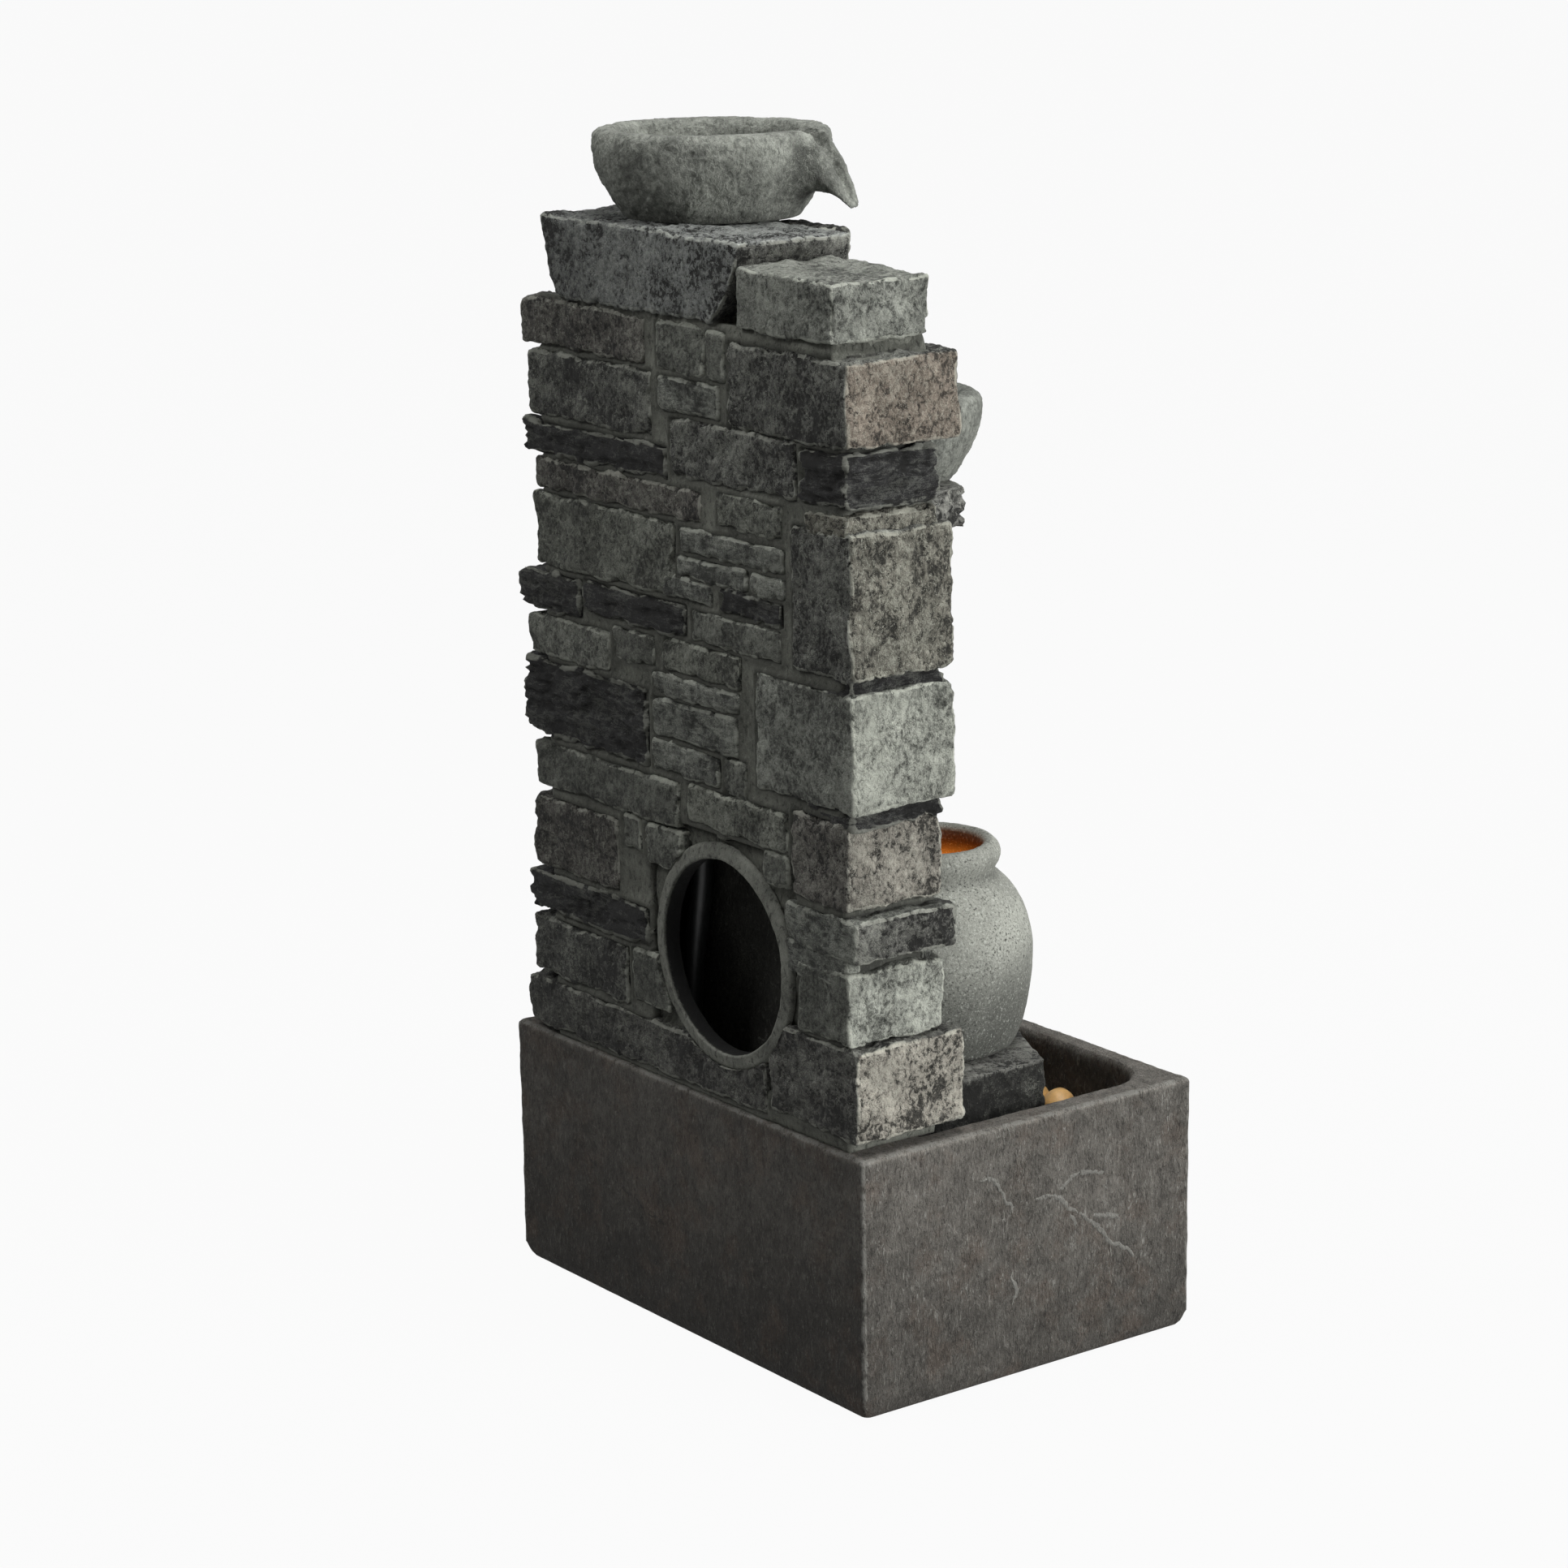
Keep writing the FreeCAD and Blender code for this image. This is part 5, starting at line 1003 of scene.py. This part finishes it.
def crack_ridges():
    """Jagged ridges that run out at both ends: pale on the left side; on the back painted dark, as shade."""
    parts = []
    for axis, lines in enumerate(CRACKS):
        for number, line in enumerate(lines):
            path = curve(line, int(travelled(np.array(line, float))[-1] / 1.1))
            seed = np.column_stack([path, np.full(len(path), 40.0 * number + 7 * axis)])
            path = path + 2.0 * np.stack([ripple(seed / 4.5), ripple(seed / 4.5 + 9)], 1)
            path += 0.8 * np.stack([ripple(seed / 1.7), ripple(seed / 1.7 + 9)], 1)
            way = np.gradient(path, axis=0)
            side = np.stack([-way[:, 1], way[:, 0]], 1) / (np.linalg.norm(way, axis=1, keepdims=True) + 1e-9)
            end = np.minimum(np.arange(len(path)), np.arange(len(path))[::-1]) / 6.0
            size = np.clip(end, 0.05, 1) * (0.9 + 0.45 * ripple(seed / 9) + 0.5 * ripple(seed / 2.1 + 50))
            rows = []
            for across, over in ((-2.3, 0.0), (-1.2, 0.7), (0.0, 1.0), (1.1, 0.7), (2.2, 0.0)):
                flat = path + side * (across * size)[:, None]
                out = (1.5 if axis == 0 else 1.1) * over * size - 0.5 * (over == 0)
                if axis == 0:
                    rows.append(np.column_stack([-207.9 - out, flat[:, 0], flat[:, 1]]))
                else:
                    rows.append(np.column_stack([flat[:, 0], 144.9 + out, flat[:, 1]]))
            loops = np.stack(rows, axis=1)
            points, quads = rings(list(loops if axis == 0 else loops[:, ::-1]))
            parts.append((points, quads, np.full(len(points), 0.85 if axis == 0 else 0.0)))
    return joined(parts)


def basin_finish():
    """Dark brown-grey cast stone with fine upright dry-brushed scratches."""
    paint = Paint("weathered basin", rough=0.84, Specular_IOR_Level=0.22)
    cloud = paint.noise(11, 4, 0.6)
    mottle = paint.noise(62, 5, 0.62, 0.8)
    scratch = paint.noise(430, 5, 0.68, 1.1, stretch=(1.0, 1.0, 0.42))
    dust = paint.noise(1500, 2, 0.6)
    level = 1.0 + 0.9 * (cloud - 0.5) + 1.5 * (mottle - 0.5) + 1.3 * (scratch - 0.5) + 1.2 * (dust - 0.5)
    colour = paint.tone(paint.mark("tint", "Color"), paint.maths("MAXIMUM", level, 0.1))
    rust = paint.limit(0.48, 0.66, paint.noise(30, 5, 0.65)) * 0.4
    colour = paint.mix(rust, colour, paint.tone((0.128, 0.092, 0.070), level))
    dark = paint.limit(0.46, 0.38, scratch) * 0.4
    # The dark mark covers the hollows and, on the cracks of the back, painted shade.
    colour = paint.mix(paint.maths("MAXIMUM", dark, paint.mark("dip") * 0.7), colour, (0.020, 0.018, 0.017))
    nick = paint.noise(330, 5, 0.68, 1.6, stretch=(1.0, 1.0, 0.3))
    pale = paint.limit(0.565, 0.615, nick) * paint.limit(0.44, 0.58, mottle) * paint.mark("brush")
    pale = paint.maths("MAXIMUM", pale, paint.limit(0.58, 0.66, scratch + 0.3 * (dust - 0.5)) * 0.35)
    pale = paint.maths("MAXIMUM", pale, paint.limit(0.55, 0.95, paint.mark("edge") + 0.9 * (scratch - 0.45)) * 0.85)
    colour = paint.mix(pale, colour, (0.34, 0.335, 0.305))
    return paint.wear(colour, 0.72 + 0.2 * dust, 0.75 * scratch + 0.7 * mottle + 0.25 * dust + 0.5 * nick, 0.0048)


def spread(outline, sight):
    """Where rays at the given directions from the basin's middle meet a closed outline."""
    dense = evenly(outline, 4000, closed=True)
    turn = np.arctan2(dense[:, 1], dense[:, 0])
    order = np.argsort(turn)
    radius = np.interp(sight, turn[order], np.hypot(*dense.T)[order], period=2 * math.pi)
    return np.stack([radius * np.cos(sight), radius * np.sin(sight)], 1)


def basin_shape():
    """Loops from the hollow underneath, out and up the walls, over the rim, down into the pool and the sump."""
    count = 640
    w, d, h = cad("basin")[1]

    def outer_at(inset, radius=2.6):
        return oblong(-w + inset, w - inset, -d + inset, d - inset, radius - 0.3 * min(inset, 5), count)

    def pool(grow):
        return around * (1 + grow / np.hypot(*around.T))[:, None]

    edge_loop = outer_at(4)
    sight = np.arctan2(edge_loop[:, 1], edge_loop[:, 0])
    bend = np.radians(np.linspace(0, 90, 13))[:, None]
    bow = 38
    right = [POOL_X - bow, -90] + bow * np.hstack([np.sin(bend), -np.cos(bend)])
    left = [bow - POOL_X, -90] + bow * np.hstack([-np.cos(bend), -np.sin(bend)])
    far_left, far_right, far_back = SUMP_LEFT - 0.5, SUMP_RIGHT + 0.5, SUMP_BACK + 0.6
    cavity = np.vstack([right, [(POOL_X, SUMP_FRONT), (far_right, SUMP_FRONT), (far_right, far_back),
                                (far_left, far_back), (far_left, SUMP_FRONT), (-POOL_X, SUMP_FRONT)], left])
    around = spread(cavity, sight)
    hollow = oblong(-w + 11, w - 11, -d + 11, 70, 6, count)
    sump = oblong(SUMP_LEFT, SUMP_RIGHT, SUMP_FRONT, SUMP_BACK, 4, count)
    loops = [lift(shrunk(hollow, share), SHELF_Z - 10) for share in (0.1, 0.4, 0.75)]
    loops += [lift(hollow, z) for z in np.linspace(SHELF_Z - 10, 0.6, 6)]
    foot = ((9.5, 0.0), (7.0, 0.4), (4.8, 1.6), (2.9, 3.8), (1.5, 6.6), (0.5, 9.6))
    loops += [lift(outer_at(inset, 4 + 0.5 * inset), z) for inset, z in foot]
    loops += [lift(outer_at(0), z) for z in steps(11.6, h - 4, step=2.1)]
    for angle in np.radians([18, 36, 54, 72, 88]):
        loops.append(lift(outer_at(3.6 * (1 - math.cos(angle))), h - 4 + 3.8 * math.sin(angle)))
    loops += [lift(edge_loop * (1 - t) + pool(3) * t, h - 0.3) for t in np.linspace(0.1, 0.96, 9)]
    for angle in np.radians([70, 45, 20]):
        loops.append(lift(pool(3 * math.sin(angle)), h - 3.3 + 3 * math.sin(angle)))
    loops += [lift(around, z) for z in np.linspace(h - 5, SHELF_Z + 0.5, 10)]
    loops += [lift(around * (1 - t) + sump * t, SHELF_Z) for t in np.linspace(0.06, 1, 9)]
    loops += [lift(sump, z) for z in (90, 50, 12.5)]
    loops += [lift(shrunk(sump, share), 12) for share in (0.9, 0.5, 0.1)]
    points, quads = rings(loops)
    normal = outward(points, quads)
    x_in, y_in, z = w - np.abs(points[:, 0]), d - np.abs(points[:, 1]), points[:, 2]
    wall = ease(5, 1, np.minimum(x_in, y_in))
    fine = 0.4 * rough(points * [1, 1, 0.45], 9, 4, 0.6) + 0.45 * rough(points, 55, 3)
    inside = ease(1, -1, np.maximum(np.abs(points[:, 0]) - POOL_X - 2, np.abs(points[:, 1] - 3) - 133))
    out = fine * (0.8 + 0.2 * wall) - 0.55 * wall
    points = points + normal * (out * ease(0.0, 5.0, z))[:, None]
    x_in, y_in, z = w - np.abs(points[:, 0]), d - np.abs(points[:, 1]), points[:, 2]
    upper = ease(h - 5, h - 1.5, z)
    rim = upper * ease(8, 3, np.minimum(x_in, y_in))
    edge = np.clip(ease(7, 2, x_in) * ease(7, 2, y_in) + 0.95 * rim, 0, 1) * (0.78 + 0.25 * rough(points, 9, 3))
    # Painted light and shade in the tint: darker low down, inside the pool and low on the back face, lighter near the
    # top and on the face towards -X.
    shade = (1 + 0.14 * rough(points, 60, 3)) * (0.62 + 0.38 * ease(5, 150, z)) * (1 + 0.75 * upper)
    shade *= 1 - 0.6 * inside * ease(186, 172, z)
    shade *= 1 - 0.3 * ease(0.5, 0.9, normal[:, 1]) * ease(150, 30, z)
    shade *= 1 + 0.36 * ease(0.5, 0.9, -normal[:, 0]) * (1 - inside)
    return points, quads, dict(
        tint=np.array([0.132, 0.124, 0.110]) * shade[:, None], edge=np.clip(edge, 0, 1),
        dip=np.clip(ease(-1.2, -2.1, out) * wall, 0, 1),
        brush=0.34 + 0.6 * ease(0.5, 0.8, np.abs(normal[:, 0])) * ease(20, 90, z) + 0.3 * rim)


basin_paint = basin_finish()
points, quads, marks = basin_shape()
piece("basin_casting", points, quads, basin_paint, "base_casting", "basin", **marks)
points, quads, pale = crack_ridges()
# The cracks on the back get the dark mark: painted shade.
piece("basin_cracks", points, quads, basin_paint, "base_casting", "basin", tint=(0.15, 0.145, 0.13), edge=pale,
      dip=(pale == 0), brush=0.5 * pale)


def partition():
    """The wall between pool and sump: three posts and a lintel round the two water passages."""
    parts = []
    front, back, foot, lintel, top = 70, SUMP_FRONT, SHELF_Z - 2, 157, 185.4
    for x0, x1, z0, z1 in ((-POOL_X, -110, foot, lintel + 1), (-50, 65, foot, lintel + 1),
                           (125, POOL_X, foot, lintel + 1), (-POOL_X, POOL_X, lintel, top)):
        points, quads = block(steps(x0, x1, step=4), steps(front, back, step=3), steps(z0, z1, step=4))
        points, _ = soften(points, np.array([x0, front, z0]), np.array([x1, back, z1]), 1.2)
        parts.append((points, quads))
    return joined(parts)


points, quads = partition()
points = points + outward(points, quads) * (0.3 * rough(points, 12, 3))[:, None]
# Painted shade: the partition is tinted far darker than the rest of the casting.
piece("sump_partition", points, quads, basin_paint, "base_casting", "sump_divider", tint=(0.04, 0.037, 0.034),
      edge=0, dip=0, brush=0)


def pebbles():
    """Water-worn stones: stretched balls, each squared a little by noise, resting on the pool's shelf. Each is given
    by its place, length, width, half height and turn."""
    rows = [
        (-164, -96, 13, 10, 9, 20), (-135, -110, 13, 11, 9, -15), (-122, -88, 12, 10, 9, 35),
        (-104, -114, 14, 12, 12, -38), (-77, -116, 10, 9.5, 10, 5), (-52, -111, 12, 11, 9, 60),
        (-36, -115, 12, 9, 9, -20), (-10, -112, 13, 11, 10, 15), (17, -115, 13, 10, 9, -10),
        (44, -112, 12, 11, 10, 40), (70, -115, 13, 9.5, 9, 0), (97, -112, 13, 11, 10, -35),
        (124, -113, 12, 11, 9, 10),
        (30, -88, 14, 10, 9, 25), (60, -88, 13, 10, 10, -25), (88, -86, 12, 11, 9, 5),
        (116, -87, 14, 10, 10, 30), (145, -88, 12, 11, 9, -5), (160, -110, 11, 9, 8, 0),
        (47, -60, 13, 11, 9, -15), (77, -60, 14, 10, 10, 20), (107, -60, 12, 11, 9, 50),
        (136, -61, 13, 10, 10, 0), (164, -62, 11, 12, 9, 15), (60, -30, 13, 10, 9, 35),
        (92, -32, 13, 11, 10, -30), (122, -32, 12, 11, 9, 10), (152, -33, 13, 10, 9, -10),
        (74, -2, 13, 10, 9, 0), (104, -3, 12, 11, 9, 25), (134, -4, 13, 10, 9, -20),
        (163, -6, 12, 10, 9, 15), (86, 26, 12, 10, 9, 10), (117, 26, 13, 11, 10, -35),
        (148, 25, 13, 10, 9, 30),
    ]
    arc = np.linspace(0, math.pi, 25)
    ball, ball_quads = turned(np.stack([np.sin(arc), -np.cos(arc)], 1), 40)
    parts = []
    colours = np.array([(0.80, 0.44, 0.14), (0.82, 0.50, 0.20), (0.70, 0.40, 0.14), (0.86, 0.52, 0.20),
                        (0.84, 0.50, 0.18)])
    for number, (x, y, long, wide, high, turn) in enumerate(rows):
        p = ball * (1 + 0.10 * rough(ball + number * 5.1, 1.3, 2))[:, None] * 0.97
        p = spun(p * [long, wide, high], turn) + [x, y, SHELF_Z + high]
        p[:, 2] = np.maximum(p[:, 2], SHELF_Z + 0.3)
        parts.append((p, ball_quads, colours[number % 5] * (1 + 0.2 * rough(p + 30 * number, 12, 2))[:, None]))
    return joined(parts)


def pebble_finish():
    """River stone, smooth, with faint bands and grains."""
    paint = Paint("river pebble", rough=0.45, Specular_IOR_Level=0.45)
    band = paint.noise(120, 4, 0.6, 0.8)
    grain = paint.noise(900, 3, 0.6)
    colour = paint.tone(paint.mark("tint", "Color"), 0.5 + 0.7 * band + 0.3 * grain)
    return paint.wear(colour, 0.38 + 0.2 * grain, 0.5 * band + 0.3 * grain, 0.0004)


points, quads, tint = pebbles()
piece("pebble_bed", points, quads, pebble_finish(), "pebble", "river_pebbles", tint=tint)


# Working parts: the CAD solids are right, so each gets its own finish.

def moulded(name, colour, rough=0.42, grain=1.0, specular=0.5):
    """Moulded plastic or resin: a fine spark-eroded grain with slight fading."""
    paint = Paint(name, rough=rough, Specular_IOR_Level=specular)
    fade = paint.noise(35, 3, 0.55)
    fine = paint.noise(2600 * grain, 2, 0.5)
    tone = paint.tone(colour, 0.82 + 0.36 * fade)
    return paint.wear(tone, rough - 0.06 + 0.14 * fine, fine, 0.00008)


def hazed(name, haze, start, strength, colours, grain, gloss, **constants):
    """Soft black rubber or vinyl under a paler haze, which begins where the haze's noise passes start, with a fine
    grain or scuffs."""
    paint = Paint(name, **constants)
    cloud = paint.limit(start, start + 0.3, paint.noise(haze, 4, 0.6)) * strength
    fine = paint.noise(*grain)
    return paint.wear(paint.mix(cloud, *colours), gloss + 0.2 * fine, fine, 0.00006)


def fine_grained(name, grain, colour, gloss, depth, glow=None, **constants):
    """One fine grain that shades the colour, the gloss and the glow. The colour and the glow come with a share that
    always shows and one that the grain adds, and the gloss is two such shares."""
    paint = Paint(name, **constants)
    fine = paint.noise(*grain)
    tone, shine = (wash and paint.tone(wash[0], wash[1] + wash[2] * fine) for wash in (colour, glow))
    return paint.wear(tone, gloss[0] + gloss[1] * fine, fine, depth, shine)


def stamped_steel():
    """Stamped steel with fine lines along the strip."""
    paint = Paint("clamp steel", rough=0.35, Metallic=1.0)
    lines = paint.noise(240, 4, 0.6, stretch=(1, 1, 26))
    tarnish = paint.noise(60, 4, 0.6)
    tone = paint.tone((0.62, 0.63, 0.64), 0.72 + 0.4 * lines + 0.2 * tarnish)
    return paint.wear(tone, 0.24 + 0.3 * lines, lines, 0.00005)


def laminated():
    """A stack of steel sheets seen edge on, with a rusty bloom."""
    paint = Paint("steel laminations", rough=0.5, Metallic=0.85)
    leaf = paint.node("ShaderNodeTexWave", {"Vector": paint.place, "Scale": 320.0, "Distortion": 0.2},
                      bands_direction="Y")
    rust = paint.limit(0.5, 0.7, paint.noise(160, 4, 0.6))
    tone = paint.mix(rust * 0.7, paint.tone((0.34, 0.34, 0.35), 0.6 + 0.5 * leaf), (0.22, 0.10, 0.05))
    return paint.wear(tone, 0.42 + 0.25 * rust, leaf, 0.0001)


def wound_wire():
    """Enamelled copper wire, laid turn on turn."""
    paint = Paint("enamelled winding", rough=0.3, Metallic=0.9)
    turn = paint.node("ShaderNodeTexWave", {"Vector": paint.place, "Scale": 420.0, "Distortion": 0.35},
                      bands_direction="Z")
    tone = paint.mix(turn, (0.30, 0.10, 0.035), (0.72, 0.34, 0.13))
    return paint.wear(tone, 0.26 + 0.2 * turn, turn, 0.00025)


FINISHES = {
    moulded("pump housing plastic", (0.035, 0.036, 0.040)): ["pump_housing", "volute_cover", "pump_cover"],
    moulded("dial plastic", (0.16, 0.17, 0.18), 0.36): ["flow_dial"],
    moulded("fitting plastic", (0.045, 0.046, 0.047), 0.45, 0.8): ["bowl_inlet", "inlet_nut", "hose_clips",
                                                                   "impeller"],
    moulded("lamp case plastic", (0.03, 0.03, 0.031), 0.4): ["lamp_housing", "lamp_bezel"],
    moulded("potting resin", (0.025, 0.024, 0.022), 0.22, 0.4, 0.6): ["potting_block"],
    moulded("bonded magnet", (0.055, 0.055, 0.06), 0.5, 1.4): ["rotor_magnet"],
    moulded("glazed ceramic shaft", (0.80, 0.80, 0.77), 0.16, 0.6): ["impeller_shaft"],
    hazed("seal rubber", 55, 0.45, 0.35, ((0.018, 0.018, 0.019), (0.10, 0.10, 0.098)), (1900, 2, 0.5), 0.66,
          rough=0.75, Specular_IOR_Level=0.3): ["suction_cups", "shaft_bushes", "inlet_gasket", "pump_cable_gland",
                                                "lamp_cable_gland", "pot_grommet"],
    hazed("vinyl hose", 70, 0.5, 0.4, ((0.022, 0.024, 0.024), (0.07, 0.074, 0.072)),
          (500, 3, 0.6, 0.0, (1, 1, 0.2)), 0.34, rough=0.4, Specular_IOR_Level=0.5): ["riser_hose"],
    stamped_steel(): ["hose_clamps"],
    laminated(): ["lamination_core"],
    wound_wire(): ["stator_coil"],
    fine_grained("circuit board", (1500, 2, 0.5, 0.0, (1, 0.2, 1)), ((0.03, 0.16, 0.07), 0.75, 0.5),
                 (0.3, 0.15), 0.00005, rough=0.35): ["lamp_board"],
    fine_grained("warm diode", (1800, 2, 0.5), ((0.95, 0.70, 0.32), 0.8, 0.4), (0.3, 0.1), 0.00004,
                 ((1.0, 0.52, 0.14), 0.7, 0.5), rough=0.3, Emission_Strength=2.0): ["lamp_diodes"],
    fine_grained("amber lens", (800, 3, 0.6), ((0.98, 0.72, 0.36), 0.85, 0.25), (0.14, 0.2), 0.00005,
                 ((1.0, 0.45, 0.10), 0.5, 0.5), rough=0.2, Transmission_Weight=0.8, IOR=1.5,
                 Emission_Strength=0.6): ["lamp_lens"],
}
for finish, names in FINISHES.items():
    for name in names:
        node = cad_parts[name]
        node.data.materials.clear()
        node.data.materials.append(finish)


# Floor, light and camera.

def pale_floor():
    """A wide pale floor. To the camera it is nearly the white of the background, with a soft shadow left in."""
    mesh = bpy.data.meshes.new("floor")
    far, sunk = 40.0, -0.0006
    mesh.from_pydata([(-far, -far, sunk), (far, -far, sunk), (far, far, sunk), (-far, far, sunk)], [], [(0, 1, 2, 3)])
    paint = Paint("pale floor", rough=1.0, Specular_IOR_Level=0.0, Base_Color=(0.26, 0.26, 0.26, 1))
    plain = paint.node("ShaderNodeEmission", {0: (1, 1, 1, 1)})
    paint.finish(paint.node("ShaderNodeMixShader", {0: paint.seen() * 0.95, 1: paint.surface, 2: plain}))
    mesh.materials.append(paint.material)
    floor = shown("floor", mesh)


def white_world(strength):
    """White behind the object; a weaker white lights it from all sides."""
    world = bpy.data.worlds.new("studio")
    web = Web(world, "ShaderNodeOutputWorld")
    level = web.node("ShaderNodeMapRange", {0: web.seen(), 3: strength, 4: 1.0})
    web.finish(web.node("ShaderNodeBackground", {0: (1, 1, 1, 1), 1: level}))
    bpy.context.scene.world = world


def lamp(name, place, aim, power, width, height):
    """A soft box that faces a point."""
    data = bpy.data.lights.new(name, "AREA")
    data.shape = "RECTANGLE"
    data.size = width
    data.size_y = height
    data.energy = power
    made = shown(name, data)
    made.location = place
    made.rotation_euler = (Vector(aim) - Vector(place)).to_track_quat("-Z", "Y").to_euler()


pale_floor()
white_world(0.05)
lamp("key softbox", (-3.2, -1.1, 0.9), (0, 0, 0.36), 116, 1.3, 1.6)
lamp("back fill softbox", (1.7, 2.6, 1.5), (0, 0, 0.42), 1.5, 1.6, 1.8)
lamp("back top softbox", (0.5, 1.4, 2.2), (0, 0, 0.45), 14.5, 0.6, 0.6)
lamp("top softbox", (-0.6, 0.1, 2.8), (0, 0, 0.4), 46, 1.2, 1.2)
lamp("front fill softbox", (0.8, -2.6, 1.4), (0, 0, 0.42), 12, 1.6, 1.6)


def photo_camera():
    """The camera that fits the photograph: long lens, from the back left, slightly above. Lengths in metres."""
    distance, focal_pixels, picture_pixels = 3.0162, 5134.7, 1932.0
    aim = Vector((0.069775, 0.0, 0.367866))
    azimuth, rise, roll = (math.radians(angle) for angle in (233.564, 13.952, -0.837))
    level = math.cos(rise)
    place = aim + distance * Vector((math.sin(azimuth) * level, -math.cos(azimuth) * level, math.sin(rise)))
    look = (aim - place).normalized()
    across = look.cross(Vector((0, 0, 1))).normalized()
    over = across.cross(look)
    right = across * math.cos(roll) + over * math.sin(roll)
    up = over * math.cos(roll) - across * math.sin(roll)
    data = bpy.data.cameras.new("photo camera")
    data.sensor_width = 36.0
    data.lens = focal_pixels * data.sensor_width / picture_pixels
    data.clip_end = 100.0
    made = shown("photo camera", data)
    made.matrix_world = Matrix(((right.x, up.x, -look.x, place.x), (right.y, up.y, -look.y, place.y),
                                (right.z, up.z, -look.z, place.z), (0, 0, 0, 1)))
    bpy.context.scene.camera = made


photo_camera()
bpy.context.scene.view_settings.view_transform = "Standard"
